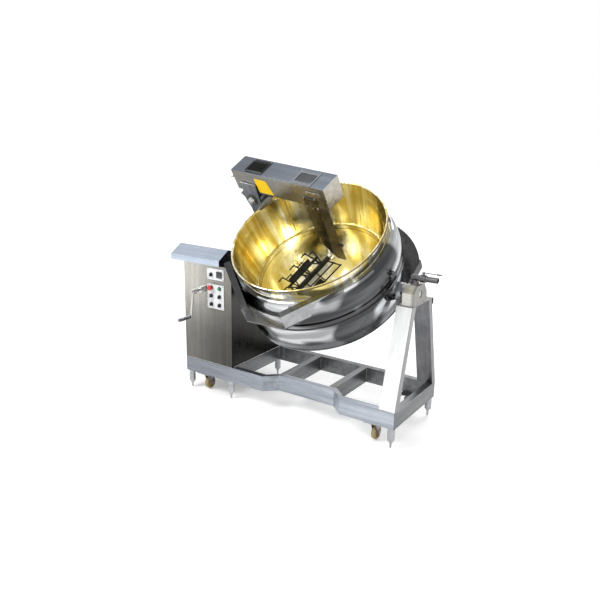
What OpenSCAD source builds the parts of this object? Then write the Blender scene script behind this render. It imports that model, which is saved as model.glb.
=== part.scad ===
// Tilting stir-fry machine: a jacketed round pot on trunnions between a drive cabinet and an A-frame,
// with a lifting stirrer head that tips with the pot.
// Frame: +X to the right seen from the front, +Y to the back, +Z up, on the floor under the middle of it all.

/* [Base] */
// Depth of the base
base_d = 680; // [660:5:720]
// Height of the base tubes
tube_h = 120; // [100:5:130]
// Width of the base tubes
tube_w = 50; // [46:1:54]
// Wall of the base tubes
tube_t = 3; // [2:0.5:4]
// Underside of the base above the floor
base_z = 150; // [144:1:170]
// How far the front rail steps back in its middle
recess_d = 90; // [70:5:100]
// Start of the step, to the right of the cabinet
recess_from = 291; // [282:1:300]
// End of the step, from the right end of the base
recess_to = 427; // [415:1:440]
// Length along the rail of each slanting part of the step
recess_slant = 97; // [85:1:110]
// Third cross tube, to the right of the cabinet
cross_from = 371; // [362:1:380]
// Fourth cross tube, from the right end of the base
cross_to = 595; // [585:1:605]
// Diameter of the weep holes
weep_d = 12; // [8:1:14]

/* [Feet and casters] */
// Radius of a foot's sleeve
foot_r = 25; // [20:1:28]
// Length of a foot's sleeve
foot_sleeve_l = 90; // [70:5:100]
// Radius of a foot's screw
foot_screw_r = 8; // [6:1:10]
// Inset of the feet from the base's edges
foot_in = 32; // [28:1:40]
// Radius of a caster wheel
wheel_r = 50; // [45:1:52]
// Width of a caster wheel
wheel_w = 32; // [28:1:36]
// Gap under the caster wheels while the feet carry the machine
wheel_lift = 4; // [2:0.5:8]
// Distance of the casters from the base's left and right ends
caster_in_x = 172; // [160:1:190]
// Distance of the casters from the base's front and back
caster_in_y = 60; // [56:1:70]
// Trail of a caster
caster_trail = 26; // [20:1:32]

/* [Cabinet] */
// Width of the cabinet
cab_w = 473; // [470:1:476]
// Height of the cabinet's front above the floor
cab_z = 1056; // [1052:1:1062]
// Sheet thickness of the cabinet
sheet = 2.5; // [1.5:0.5:3]
// Overhang of the cap past the cabinet's left side
cap_over = 125; // [100:5:140]
// Width of the cap
cap_w = 490; // [470:5:495]
// Height of the cap's front face
cap_front_h = 44; // [36:1:50]
// Height of the cap's ridge above the floor
ridge_z = 1168; // [1150:1:1180]
// Distance of the ridge behind the base's front
ridge_in = 100; // [90:5:120]
// Height of the cap's back edge above the floor
cap_back_z = 1006; // [990:1:1020]
// Height of the cap's folded back edge
cap_back_h = 40; // [34:1:46]
// How far the cap stands out in front
cap_out = 12; // [8:1:14]
// Gap between the cabinet and the trunnion bosses
cab_gap = 9; // [7:1:12]
// Place of the crank from the cabinet's left side
crank_in = 207; // [204:1:210]
// Middle of the control panel from the cabinet's left side
panel_in = 321; // [316:1:326]

/* [A-frame] */
// Width of the A-frame's legs along the base
leg_w = 120; // [110:2:126]
// Thickness of the A-frame's legs
leg_t = 50; // [44:1:54]
// Height of the legs' top above the floor
leg_top_z = 956; // [940:2:960]
// Width of the A-frame at its top
leg_top_d = 320; // [310:2:340]
// Length of the bearing block along the base
block_l = 83; // [76:1:90]
// Height of the bearing block's top above the floor
block_top_z = 1094; // [1086:1:1100]
// Gap between the bearing block and the trunnion boss
block_gap = 39; // [34:1:44]

/* [Pot] */
// Height of the trunnion axis above the floor
axis_z = 1030; // [1029:1:1032]
// Place of the trunnion axis from the middle of the base's depth
axis_in = -50; // [-54:1:-46]
// Forward tilt of the pot as shown
tilt = 34; // [32:0.5:36]
// Radius of the bowl's round bottom, inside
bowl_r = 480; // [474:1:484]
// Height of the bowl's centre above the trunnion axis
bowl_c = 190; // [186:1:194]
// Height of the seam between bowl and wall above the trunnion axis
seam_h = 98; // [94:1:102]
// Radius of the pot's mouth, inside
mouth_r = 545; // [542:1:548]
// Height of the pot's mouth above the trunnion axis
mouth_h = 440; // [436:1:446]
// Wall of the liner
liner_t = 4; // [3:0.5:5]
// Width of the ledge at the seam between bowl and wall
ledge_w = 9; // [6:1:12]
// Radius of the rolled rim's bead
bead_r = 8; // [6:0.5:9]
// Outer radius of the jacket
jacket_r = 600; // [598:1:602]
// Height of the jacket's top flange above the trunnion axis
jacket_top = 338; // [334:1:342]
// Sheet thickness of the jacket
jacket_t = 3; // [2:0.5:4]
// Lower edge of the jacket below the trunnion axis
jacket_low = 30; // [26:1:34]
// Lower edge of the skirt below the trunnion axis
skirt_low = 100; // [96:1:108]
// How far the band stands out of the jacket
band_out = 12; // [8:1:13]
// Lower edge of the band above the trunnion axis
band_h0 = 120; // [116:1:124]
// Height of the band
band_h = 45; // [40:1:48]
// Gap between the liner's bowl and the heated shell under it
heat_gap = 46; // [40:1:50]
// Outer radius of the rear yoke
yoke_r = 690; // [680:1:694]
// Height of the rear yoke
yoke_h = 72; // [64:1:80]
// Angle of the yoke's ends behind the trunnions
yoke_a = 25; // [24:1:28]

/* [Pouring chute] */
// Height of the chute's floor above the trunnion axis
chute_h = 235; // [230:1:240]
// Width of the chute's lip
lip_w = 312; // [304:2:320]
// Middle of the lip beside the pot's axis
lip_mid = -18; // [-22:1:-14]
// Reach of the lip past the jacket
lip_out = 80; // [76:1:86]
// Height of the lip's folded edge
lip_fold = 12; // [8:1:16]
// Thickness of the guide walls
guide_t = 46; // [42:1:48]
// Wall of the guides' folded sheet
guide_sheet = 2.5; // [2:0.5:3]
// Height of the guide walls
guide_h = 110; // [100:1:116]

/* [Stirrer head] */
// Turn of the head about the pot's axis
head_turn = 9.1; // [8.6:0.1:9.6]
// Length of the beam
beam_l = 856; // [840:2:866]
// Width of the beam
beam_w = 163; // [158:1:166]
// Height of the beam
beam_h = 168; // [164:1:172]
// Underside of the beam above the trunnion axis
beam_h0 = 609; // [606:1:614]
// Left end of the beam in front of the pot's axis
beam_u0 = -666; // [-670:1:-662]
// Front of the beam behind the pot's axis
beam_w0 = 88; // [86:1:90]
// Wall of the beam
beam_t = 3; // [2:0.5:4]
// Place of the head's hinge along the beam's direction
hinge_u = -547; // [-550:1:-544]
// Height of the head's hinge above the trunnion axis
hinge_h = 538; // [535:1:541]
// Radius of the hinge pin
hinge_r = 16; // [14:1:18]

/* [Stirrer] */
// Radius of the stirrer's tube
shaft_r = 19; // [17:1:21]
// Distance of the blade bar from the stirrer's axis
bar_r = 62; // [58:1:66]
// Side of the blade bar
bar_side = 20; // [16:1:22]
// Width of the blade on the bar
blade_w = 32; // [28:1:36]
// Thickness of the blade
blade_t = 10; // [6:1:12]
// Reach of the long tines from the stirrer's axis
tine_r = 171; // [164:1:174]
// Reach of the short tines from the stirrer's axis
short_tine_r = 133; // [128:1:138]
// Length of a tine's bent end
tine_end = 49; // [44:1:54]
// Radius of a tine's wire
wire_r = 5; // [4:0.5:5.5]
// Distance of the second frame's inner bar from the axis
frame_r = 52; // [50:1:55]
// Distance of the second frame's outer bar from the axis
frame_out_r = 101; // [96:1:106]
// Length of a scraper pad
pad_l = 100; // [90:2:102]
// Thickness of a scraper pad
pad_t = 9; // [6:1:10]
// Length of the stirrer from the leg's end
stir_l = 522; // [500:2:526]

/* [Tilt drive] */
// Teeth that the worm wheel would have on its whole circle
wheel_teeth = 40; // [40:1:40]
// Pitch radius of the worm wheel
wheel_pitch_r = 140; // [139:0.5:141]
// Mean radius of the worm
worm_r = 24; // [23.5:0.5:24.5]
// Length of the crank's arm
crank_l = 200; // [180:5:210]
// Length of the crank's grip
grip_l = 128; // [110:2:130]
// Radius of the crank's grip
grip_r = 14; // [13:0.5:16]
// Radius of the crank's shaft
crank_shaft_r = 12; // [10:1:13]
// Clearance around a shaft in its bore
fit = 0.05; // [0.03:0.01:0.08]

/* [Hidden] */

$fn = 48;
big = 160;          // facets of the pot's large rounds
eps = 0.01;
seat = 0.3;         // running gap between pieces that don't touch
clear_x = jacket_r + 28;   // half width of everything that tips, beside the trunnions
base_l = cab_w + cab_gap + 2 * clear_x + block_gap + block_l;
x_left = -base_l / 2;
x_right = base_l / 2;
// Puts the origin under the middle of the whole machine, from the chute's lip to the rear yoke
lip_reach = jacket_r + lip_out;
axis_y = ((lip_reach - yoke_r) * cos(tilt) + (chute_h + guide_h - yoke_h) * sin(tilt)) / 2;
base_y = axis_y - axis_in;
y_front = base_y - base_d / 2;
y_back = base_y + base_d / 2;
rail_top = base_z + tube_h;
cab_x1 = x_left + cab_w;
cross_x = [x_left, cab_x1 - tube_w, cab_x1 + cross_from, x_right - cross_to, x_right - tube_w];
recess_x0 = cab_x1 + recess_from;
recess_x1 = x_right - recess_to;
pot_x = cab_x1 + cab_gap + clear_x;

// Pot
seam_r = sqrt(pow(bowl_r, 2) - pow(bowl_c - seam_h, 2));
function wall_r(h) = seam_r + ledge_w + (h - seam_h) * (mouth_r - seam_r - ledge_w) / (mouth_h - seam_h);
function flip(p) = [for (i = [len(p) - 1 : -1 : 0]) p[i]];
heat_r = bowl_r + liner_t + heat_gap;

// Feet and casters
foot_places = [[x_left + 4 + foot_in, y_front + foot_in - 7], [cab_x1 - foot_in + 2, y_front + foot_in - 7],
    [x_right - foot_in + 2, y_front + foot_in - 7], [x_left + 4 + foot_in, y_back - foot_in + 7],
    [cab_x1 - foot_in + 2, y_back - foot_in + 7], [x_right - foot_in + 2, y_back - foot_in + 7]];
caster_places = [[x_left + caster_in_x, y_front + caster_in_y], [x_right - caster_in_x, y_front + caster_in_y],
    [x_left + caster_in_x, y_back - caster_in_y], [x_right - caster_in_x, y_back - caster_in_y]];
plate_t = 6;
plate_l = 120;
plate_d = 110;
fork_top = base_z - plate_t;
axle_z = wheel_r + wheel_lift;
axle_r = 6;
fork_t = 4;
fork_gap = 2;

// Controls on the cabinet's front
panel_t = 4;
panel_x = x_left + panel_in;
panel_w = 162;
column_x = [panel_x - 40, panel_x + 40];
upper_z = 991;
upper_h = 86;
lower_z = 817;
lower_h = 192;
row_z = [885, 822, 755];
front_y = y_front - panel_t;
bezel_r = 16;
bezel_t = 5;
knob_places = [[column_x[0], upper_z - 4], [column_x[0], row_z[1]], [column_x[1], row_z[1]],
    [column_x[0], row_z[2]], [column_x[1], row_z[2]]];
stem_r = 9;
button_places = concat(knob_places, [[column_x[0], row_z[0]], [column_x[1], row_z[0]]]);

// Tilt drive
crank_x = x_left + crank_in;
crank_z = axis_z - wheel_pitch_r - worm_r;
crank_y = y_front - 125;
worm_pitch = 2 * PI * wheel_pitch_r / wheel_teeth;
worm_turns = 3;
worm_e = 5;
tooth_add = 2.5;
tooth_ded = 8;
wheel_face = 16;
left_shaft_r = 20;
right_shaft_r = 25;
shaft_end_x = crank_x - 120;
stand_x = [crank_x - 103, crank_x + 103];
stand_t = 12;
crank_lean = 7;
bush_out = 14;
arm_r = 9;
grip_pin_r = 6;

// Stirrer axis, in the pot's frame: where it leaves the leg, its dip and its bearing
stir_p = [78, 109, 172];
stir_polar = 123.8;
stir_turn = -141.3;
stir_phase = 34.9;

module pot_frame() { translate([pot_x, axis_y, axis_z]) rotate([tilt, 0, 0]) children(); }
module head_frame() { pot_frame() rotate([0, 0, -head_turn]) children(); }
module stir_frame() {
    pot_frame() translate(stir_p) rotate([0, stir_polar, stir_turn]) rotate([0, 0, stir_phase]) children();
}
// Extrudes a YZ outline along X from x0 to x1
module along_x(x0, x1) { translate([x0, 0, 0]) rotate([90, 0, 90]) linear_extrude(x1 - x0) children(); }
// Extrudes an outline of (along the beam, height) through the beam's depth from w0 to w1
module along_w(w0, w1) { translate([0, w1, 0]) rotate([90, 0, 0]) linear_extrude(w1 - w0) children(); }
module revolve() { rotate_extrude($fn = big) children(); }
module rounded_rect(w, h, r) {
    union() {
        square([w - 2 * r, h], center = true);
        square([w, h - 2 * r], center = true);
        for (sx = [-1, 1], sy = [-1, 1]) translate([sx * (w / 2 - r), sy * (h / 2 - r)]) circle(r, $fn = 24);
    }
}

// Base
module rail_outline(inset, over) {
    p = [[x_left - over, y_front], [recess_x0, y_front], [recess_x0 + recess_slant, y_front + recess_d],
        [recess_x1 - recess_slant, y_front + recess_d], [recess_x1, y_front], [x_right + over, y_front]];
    polygon(concat([for (q = p) q + [0, inset]], flip([for (q = p) q + [0, tube_w - inset]])));
}
module front_rail() {
    color("silver") difference() {
        translate([0, 0, base_z]) linear_extrude(tube_h) rail_outline(0, 0);
        difference() {
            translate([0, 0, base_z + tube_t]) linear_extrude(tube_h - 2 * tube_t) rail_outline(tube_t, 0);
            for (x = [x_left - eps, x_right - tube_t]) translate([x, y_front, 0]) cube([tube_t + eps, tube_w, rail_top]);
        }
        for (x = [x_left + 90, x_right - 90])
            translate([x, y_front + tube_w / 2, base_z - 1]) cylinder(d = weep_d, h = tube_t + 2);
    }
}
module straight_tube(size, along) {
    t = [tube_t, tube_t, tube_t];
    difference() {
        cube(size);
        translate(t) cube(size - 2 * t);
        translate([along == 0 ? 70 : size[0] / 2, along == 0 ? size[1] / 2 : 70, -1]) cylinder(d = weep_d, h = tube_t + 2);
    }
}
module frame_tubes() {
    color("silver") {
        translate([x_left, y_back - tube_w, base_z]) straight_tube([base_l, tube_w, tube_h], 0);
        for (i = [0 : len(cross_x) - 1]) {
            y0 = y_front + tube_w + (i == 2 || i == 3 ? recess_d : 0);
            translate([cross_x[i], y0, base_z]) straight_tube([tube_w, y_back - tube_w - y0 + 1, tube_h], 1);
        }
    }
}

// Feet and casters
module foot_sleeves() {
    color("silver") for (p = foot_places) translate([p[0], p[1], base_z - foot_sleeve_l]) difference() {
        union() {
            cylinder(r = foot_r, h = foot_sleeve_l);
            translate([0, 0, -6]) cylinder(r1 = foot_r - 5, r2 = foot_r, h = 6);
        }
        translate([0, 0, -7]) cylinder(r = foot_screw_r, h = foot_sleeve_l - 8);
    }
}
module foot_screws() {
    color("gainsboro") for (p = foot_places) translate([p[0], p[1], 0]) {
        cylinder(r1 = foot_screw_r * 0.55, r2 = foot_screw_r, h = 14);
        translate([0, 0, 14]) cylinder(r = foot_screw_r, h = base_z - 40 - 14);
        translate([0, 0, base_z - foot_sleeve_l - 6 - 12]) rotate_extrude() translate([foot_screw_r, 0]) square([6, 12]);
    }
}
module caster_plates() {
    color("gray") for (p = caster_places) {
        y = p[1] < base_y ? y_front : y_back - plate_d;
        difference() {
            translate([p[0] - plate_l / 2, y, base_z - plate_t]) cube([plate_l, plate_d, plate_t]);
            translate([p[0], p[1], 0]) cylinder(r = 7 + fit, h = base_z + 1);
        }
    }
}
module upright_plate(x, t) { translate([x - t / 2, 0, 0]) rotate([90, 0, 90]) linear_extrude(t) children(); }
module caster_fork(i) {
    p = caster_places[i];
    s = p[1] < base_y ? 1 : -1;
    a = [0, s * caster_trail, axle_z];
    gap = wheel_w / 2 + fork_gap;
    color("darkgray") translate([p[0], p[1], 0]) {
        translate([0, 0, fork_top - 10 - seat]) cylinder(r = 34, h = 10);
        translate([0, 0, fork_top - 16 - seat]) cylinder(r = 27, h = 6 + eps);
        translate([-gap - fork_t, min(-20, s * 44), fork_top - 20 - seat]) cube([2 * gap + 2 * fork_t, 64, 5]);
        translate([0, 0, fork_top - 1]) cylinder(r = 7, h = plate_t - 1);
        for (m = [-1, 1]) upright_plate(m * (gap + fork_t / 2), fork_t)
            polygon([[s * -20, fork_top - 16], [s * 44, fork_top - 16], [s * (caster_trail + 15), axle_z],
                [s * (caster_trail + 9), axle_z - 13], [s * (caster_trail - 9), axle_z - 13],
                [s * (caster_trail - 15), axle_z]]);
        translate(a) rotate([0, 90, 0]) cylinder(r = axle_r, h = 2 * gap + 2 * fork_t + 14, center = true);
        for (m = [-1, 1]) translate(a + [m * (gap + fork_t + 3.5), 0, 0]) rotate([0, 90, 0]) rotate_extrude()
            translate([axle_r, -3.5]) square([5, 7]);
        // Brake tread over the wheel, on the two front casters
        if (i < 2) translate([gap + fork_t, s * (caster_trail - 12), axle_z + 12]) cube([9, 30, 4]);
    }
}
module caster_wheel(i) {
    p = caster_places[i];
    s = p[1] < base_y ? 1 : -1;
    color("burlywood") translate([p[0], p[1] + s * caster_trail, axle_z]) rotate([0, 90, 0]) rotate_extrude($fn = 64) union() {
        translate([axle_r + fit, -wheel_w / 2 - fork_gap + seat]) square([10, wheel_w + 2 * fork_gap - 2 * seat]);
        translate([axle_r + fit, -6]) square([wheel_r - axle_r - 8, 12]);
        translate([wheel_r - 15, -wheel_w / 2 + 4]) square([15 - fit, wheel_w - 8]);
        translate([wheel_r - 13, -wheel_w / 2]) square([9, wheel_w]);
    }
}

// A-frame
leg_run = (base_d - leg_top_d) / 2;
leg_y_t = leg_t / cos(atan(leg_run / (leg_top_z - rail_top)));
module leg_outline(inset) {
    polygon([[y_front + inset, rail_top], [y_front + leg_run + inset, leg_top_z],
        [y_front + leg_run + leg_y_t - inset, leg_top_z], [y_front + leg_y_t - inset, rail_top]]);
}
module a_leg() {
    difference() {
        along_x(x_right - leg_w, x_right) leg_outline(0);
        along_x(x_right - leg_w + tube_t, x_right - tube_t) leg_outline(tube_t);
    }
}
module front_leg() { color("whitesmoke") a_leg(); }
module rear_leg() { color("dimgray") translate([0, 2 * base_y, 0]) mirror([0, 1, 0]) a_leg(); }
cap_t = 6;
module leg_cap() {
    roll = 16;
    y1 = leg_top_d / 2 + 5;
    z1 = leg_top_z + cap_t;
    arc = [0, 30, 60, 90];
    // Flat plate whose back edge rolls down over the rear leg
    color("dimgray") translate([0, base_y, 0]) along_x(x_right - leg_w, x_right + 4)
        polygon(concat([[-y1, leg_top_z], [-y1, z1]], [for (a = flip(arc)) [y1 + roll * cos(a), z1 - roll + roll * sin(a)]],
            [[y1 + roll, z1 - 50], [y1 + roll - cap_t, z1 - 50]],
            [for (a = arc) [y1 + (roll - cap_t) * cos(a), z1 - roll + (roll - cap_t) * sin(a)]]));
}
block_z0 = leg_top_z + cap_t;
module bearing_block() {
    color("lightgray") difference() {
        along_x(x_right - block_l, x_right)
            polygon([[axis_y - 109, block_z0], [axis_y - 109, axis_z + 19], [axis_y - 59, block_top_z],
                [axis_y + 58, block_top_z], [axis_y + 104, axis_z + 4], [axis_y + 115, block_z0]]);
        translate([x_right - block_l - 1, axis_y, axis_z]) rotate([0, 90, 0]) cylinder(r = right_shaft_r + fit, h = block_l + 2);
    }
}
pipe_y = base_y - 14;
pipe_r = 20;
pipe_z = block_top_z + 34;
pipe_x0 = x_right - 84;
pipe_x1 = x_right + 101;
module supply_pipe() {
    color("gray") {
        // Open pipe end, elbow and foot flange
        translate([pipe_x0, pipe_y, pipe_z]) rotate([0, 90, 0]) difference() {
            union() {
                cylinder(r = pipe_r, h = pipe_x1 - pipe_x0);
                cylinder(r = pipe_r + 3, h = 30);
                translate([0, 0, 62]) cylinder(r = pipe_r + 7, h = 40);
                translate([pipe_r + 14, 0, 18]) rotate([0, -90, 0]) cylinder(r = pipe_r - 2, h = 2 * pipe_r);
                translate([pipe_r + 14, 0, 18]) rotate([0, -90, 0]) cylinder(r = pipe_r + 12, h = 8);
                translate([-pipe_r - 16, 0, 82]) rotate([0, 90, 0]) cylinder(r = 9, h = 16);
            }
            translate([0, 0, 40]) cylinder(r = pipe_r - 4, h = pipe_x1 - pipe_x0);
            translate([-pipe_r - 17, 0, 82]) rotate([0, 90, 0]) cylinder(r = 5 + fit, h = 12);
        }
    }
}
lever_z = pipe_z + pipe_r + 16;
lever_l = x_right + cap_over - pipe_x0 - 82;
module valve_lever() {
    color("lightgray") translate([pipe_x0 + 82, pipe_y, 0]) {
        translate([0, 0, lever_z - 10]) cylinder(r = 5, h = 18);
        translate([0, 0, lever_z + 0.3]) cylinder(r = 11, h = 8);
        translate([0, 0, lever_z + 4.3]) rotate([0, 90, 0]) cylinder(r = 3.5, h = lever_l - 34);
        translate([lever_l - 34, 0, lever_z + 4.3]) rotate([0, 90, 0]) cylinder(r = 6, h = 34);
    }
}

// Cabinet
cap_y = y_front - cap_out;
eave_z = cap_back_z - cap_back_h;
cab_step_y = base_y + 20;
cab_side = [[y_front, rail_top], [y_front, cab_z], [cab_step_y, cab_z], [y_back, eave_z], [y_back, rail_top]];
// Room that the worm wheel needs, open from the cabinet into the cap
module wheel_well() {
    reach = wheel_pitch_r + tooth_add + 14;
    translate([stand_x[0] - 30, axis_y - reach, eave_z - 40])
        cube([stand_x[1] - stand_x[0] + 60, 2 * reach, cab_z + sheet + 1 - eave_z + 40]);
}
module cabinet_shell() {
    color("lightslategray") difference() {
        along_x(x_left, cab_x1) polygon(cab_side);
        along_x(x_left + sheet, cab_x1 - sheet) polygon([[y_front + sheet, rail_top - 1], [y_front + sheet, cab_z - sheet],
            [cab_step_y, cab_z - sheet], [y_back + 1, eave_z - sheet], [y_back + 1, rail_top - 1]]);
        wheel_well();
        translate([cab_x1 - 20, axis_y, axis_z]) rotate([0, 90, 0]) cylinder(r = left_shaft_r + 3, h = 40);
        translate([crank_x, y_front - 1, crank_z]) rotate([-90, 0, 0]) cylinder(r = 20, h = 10);
        for (k = button_places) translate([k[0], y_front - 1, k[1]]) rotate([-90, 0, 0]) cylinder(r = stem_r + 2, h = 10);
    }
}
module cabinet_back() {
    color("lightslategray") difference() {
        translate([x_left + sheet, y_back - sheet, rail_top]) cube([cab_w - 2 * sheet, sheet, eave_z - 2 * sheet - rail_top]);
        for (i = [0 : 7], m = [-1, 1]) translate([x_left + cab_w / 2 + m * 95 - 70, y_back - 10, rail_top + 120 + i * 24])
            cube([140, 20, 8]);
    }
}
module cabinet_cap() {
    cap_x0 = x_left - cap_over;
    roof_t = 1.1 * sheet;
    color("lightsteelblue") difference() {
        along_x(cap_x0, cap_x0 + cap_w) polygon([[cap_y, cab_z], [cap_y, cab_z + cap_front_h],
            [y_front + ridge_in, ridge_z], [y_back, cap_back_z], [y_back, eave_z], [cab_step_y, cab_z]]);
        along_x(cap_x0 + sheet, cap_x0 + cap_w - sheet)
            polygon([[cap_y + sheet, cab_z + sheet], [cap_y + sheet, cab_z + cap_front_h - 1],
                [y_front + ridge_in, ridge_z - roof_t], [y_back - sheet, cap_back_z - roof_t],
                [y_back - sheet, eave_z + sheet], [cab_step_y, cab_z + sheet]]);
        wheel_well();
    }
}

// Tilt drive inside the cabinet
module gear_frame() {
    beam_z = rail_top;
    color("dimgray") difference() {
        union() {
            for (y = [axis_y - 90, axis_y + 60]) translate([x_left + tube_w, y, beam_z - 40])
                cube([cab_x1 - tube_w - x_left - tube_w, 30, 40]);
            for (x = stand_x) translate([x - stand_t / 2, axis_y - 100, beam_z - eps])
                cube([stand_t, 200, axis_z + 40 - beam_z]);
            for (y = [axis_y - 100, axis_y + 88]) translate([stand_x[0], y, crank_z - 46])
                cube([stand_x[1] - stand_x[0], 12, 90]);
            for (x = stand_x) translate([x - 20, axis_y, axis_z]) rotate([0, 90, 0]) cylinder(r = 34, h = 40);
        }
        translate([stand_x[0] - 30, axis_y, axis_z]) rotate([0, 90, 0]) cylinder(r = left_shaft_r + fit, h = 300);
        translate([crank_x, axis_y - 110, crank_z]) rotate([-90, 0, 0]) cylinder(r = crank_shaft_r + fit, h = 220);
    }
}
module crank_bush() {
    color("dimgray") translate([crank_x, y_front, crank_z]) rotate([90, 0, 0]) difference() {
        union() {
            cylinder(r = 27, h = bush_out);
            translate([0, 0, -8]) cylinder(r = 20 - fit, h = 10);
        }
        translate([0, 0, -9]) cylinder(r = crank_shaft_r + fit, h = 30);
    }
}
module crank_shaft() {
    worm_l = worm_turns * worm_pitch;
    color("silver") translate([crank_x, 0, crank_z]) rotate([-90, 0, 0]) {
        translate([0, 0, crank_y]) cylinder(r = crank_shaft_r, h = axis_y - worm_l / 2 - crank_y + 1);
        translate([0, 0, axis_y + worm_l / 2 - 1]) cylinder(r = crank_shaft_r, h = 112 - worm_l / 2);
        translate([0, 0, axis_y - worm_l / 2]) linear_extrude(worm_l, twist = 360 * worm_turns, slices = 10 * worm_turns)
            translate([0, worm_turns % 2 == 0 ? worm_e : -worm_e]) circle(worm_r, $fn = 16);
        // Collar in front of the bush
        translate([0, 0, y_front - bush_out - seat - 42]) cylinder(r = 24, h = 42);
    }
}
module crank_arm() {
    color("gainsboro") translate([crank_x, crank_y, crank_z]) rotate([0, crank_lean, 0]) {
        difference() {
            rotate([90, 0, 0]) translate([0, 0, -22]) cylinder(r = 20, h = 40);
            rotate([90, 0, 0]) translate([0, 0, -23]) cylinder(r = crank_shaft_r, h = 23);
        }
        translate([0, -4, -crank_l]) {
            cylinder(r = arm_r, h = crank_l - 16);
            sphere(arm_r);
            rotate([90, 0, 0]) cylinder(r = grip_pin_r, h = grip_l + 16);
            translate([0, -grip_l - 16, 0]) rotate([90, 0, 0]) cylinder(r = 10, h = 4);
        }
    }
}
module crank_grip() {
    color("lightgray") translate([crank_x, crank_y, crank_z]) rotate([0, crank_lean, 0]) translate([0, -4 - 12, -crank_l])
        rotate([90, 0, 0]) rotate_extrude() polygon([[grip_pin_r + fit, 0], [grip_r - 3, 0], [grip_r, 12],
            [grip_r + 1, grip_l - 20], [grip_r - 2, grip_l - seat], [grip_pin_r + fit, grip_l - seat]]);
}

// Control panel
module control_plates() {
    color("white") difference() {
        for (p = [[upper_z, upper_h], [lower_z, lower_h]]) translate([panel_x, front_y, p[0]]) rotate([-90, 0, 0])
            linear_extrude(panel_t) rounded_rect(panel_w, p[1], 4);
        for (k = button_places) translate([k[0], front_y - 1, k[1]]) rotate([-90, 0, 0])
            cylinder(r = stem_r + 2, h = panel_t + 2);
    }
}
module temperature_controller() {
    color("dimgray") difference() {
        translate([column_x[1], front_y - 9, upper_z + 3]) rotate([-90, 0, 0]) linear_extrude(9) rounded_rect(48, 48, 3);
        translate([column_x[1] - 19, front_y - 10, upper_z + 6]) cube([38, 2.5, 16]);
        for (i = [-1.5 : 1 : 1.5]) translate([column_x[1] + i * 10 - 3.5, front_y - 10, upper_z - 14]) cube([7, 2, 5]);
    }
}
module button_bezels() {
    color("black") for (p = button_places) translate([p[0], front_y, p[1]]) rotate([90, 0, 0]) rotate_extrude()
        polygon([[stem_r + fit, -panel_t - sheet], [stem_r + 2, -panel_t - sheet], [stem_r + 2, 0], [bezel_r, 0],
            [bezel_r - 1, bezel_t], [stem_r + fit, bezel_t]]);
}
module emergency_button() {
    color("crimson") translate([column_x[0], front_y, row_z[0]]) rotate([90, 0, 0]) {
        translate([0, 0, -3]) cylinder(r = stem_r, h = bezel_t + 13);
        translate([0, 0, bezel_t + 7]) rotate_extrude()
            polygon([[0, 0], [12, 0], [20, 6], [20, 12], [17, 17], [10, 20], [0, 21]]);
    }
}
module start_button() {
    color("mediumseagreen") translate([column_x[1], front_y, row_z[0]]) rotate([90, 0, 0]) {
        translate([0, 0, -3]) cylinder(r = stem_r, h = bezel_t + 3 + 6);
        translate([0, 0, bezel_t + 6]) cylinder(r1 = 13, r2 = 12, h = 3);
    }
}
module selector(i) {
    p = knob_places[i];
    color(i == 2 ? "gainsboro" : "black") translate([p[0], front_y, p[1]]) rotate([90, 0, 0]) {
        translate([0, 0, -3]) cylinder(r = stem_r, h = 3 + bezel_t + 1);
        translate([0, 0, bezel_t + 0.5]) cylinder(r1 = 15, r2 = 13.5, h = 7);
        translate([0, 0, bezel_t + 7]) linear_extrude(9) polygon([[-4, -12], [4, -12], [5, 10], [0, 14], [-5, 10]]);
    }
}

// Pot
module pot_liner() {
    seam_out = wall_r(seam_h) + liner_t;
    color("goldenrod") pot_frame() {
        intersection() {
            translate([0, 0, bowl_c]) difference() {
                sphere(bowl_r + liner_t, $fn = big);
                sphere(bowl_r, $fn = big);
            }
            translate([0, 0, bowl_c - bowl_r - 50]) cylinder(r = bowl_r + 50, h = bowl_r + 50 - bowl_c + seam_h);
        }
        // Conical wall on its ledge, with the bead round its rim
        union() {
            revolve() polygon([[seam_r - 2, seam_h], [seam_r - 2, seam_h + liner_t], [wall_r(seam_h + liner_t), seam_h + liner_t],
                [mouth_r, mouth_h], [mouth_r + liner_t, mouth_h], [seam_out, seam_h]]);
            translate([0, 0, mouth_h - bead_r + 2]) revolve() translate([mouth_r + bead_r - 3, 0]) circle(bead_r, $fn = 32);
        }
    }
}
jacket_in = wall_r(jacket_top) + liner_t + seat;
function shoulder(k) = [jacket_in + 22 + (jacket_r - jacket_in - 22) * sin(90 * k),
    jacket_top - (jacket_top - band_h0 - band_h) * (1 - cos(90 * k))];
shoulder_n = 7;
shoulders = [for (i = [0 : shoulder_n]) shoulder(i / shoulder_n)];
// All that the jacket and the liner's wall take up, with a seam left round them
module pot_outer() {
    above = 30;
    polygon(concat([[0, jacket_top + above], [wall_r(jacket_top + above) + liner_t + seat, jacket_top + above]],
        [[jacket_in + seat, jacket_top + seat]], [for (p = shoulders) p + [seat, seat]],
        [[jacket_r + seat, -jacket_low], [0, -jacket_low]]));
}
module jacket_shell() {
    inner = [for (i = [0 : shoulder_n]) shoulders[i] - [jacket_t, jacket_t * (1 - i / shoulder_n)]];
    color("silver") pot_frame() revolve() polygon(concat([[jacket_in, jacket_top]], shoulders, [[jacket_r, -jacket_low],
        [jacket_r - jacket_t, -jacket_low]], flip(inner), [[jacket_in, jacket_top - jacket_t]]));
}
module jacket_band() {
    flat = 5;
    color("gainsboro") pot_frame() revolve() polygon([[jacket_r, band_h0], [jacket_r + band_out, band_h0],
        [jacket_r + band_out, band_h0 + flat], [jacket_r + flat, band_h0 + 8], [jacket_r + flat, band_h0 + band_h - 8],
        [jacket_r + band_out - 3, band_h0 + band_h - flat], [jacket_r + band_out - 3, band_h0 + band_h],
        [jacket_r, band_h0 + band_h]]);
}
drain_a = [-56, -48];
drain_r = jacket_r - 48;
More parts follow.
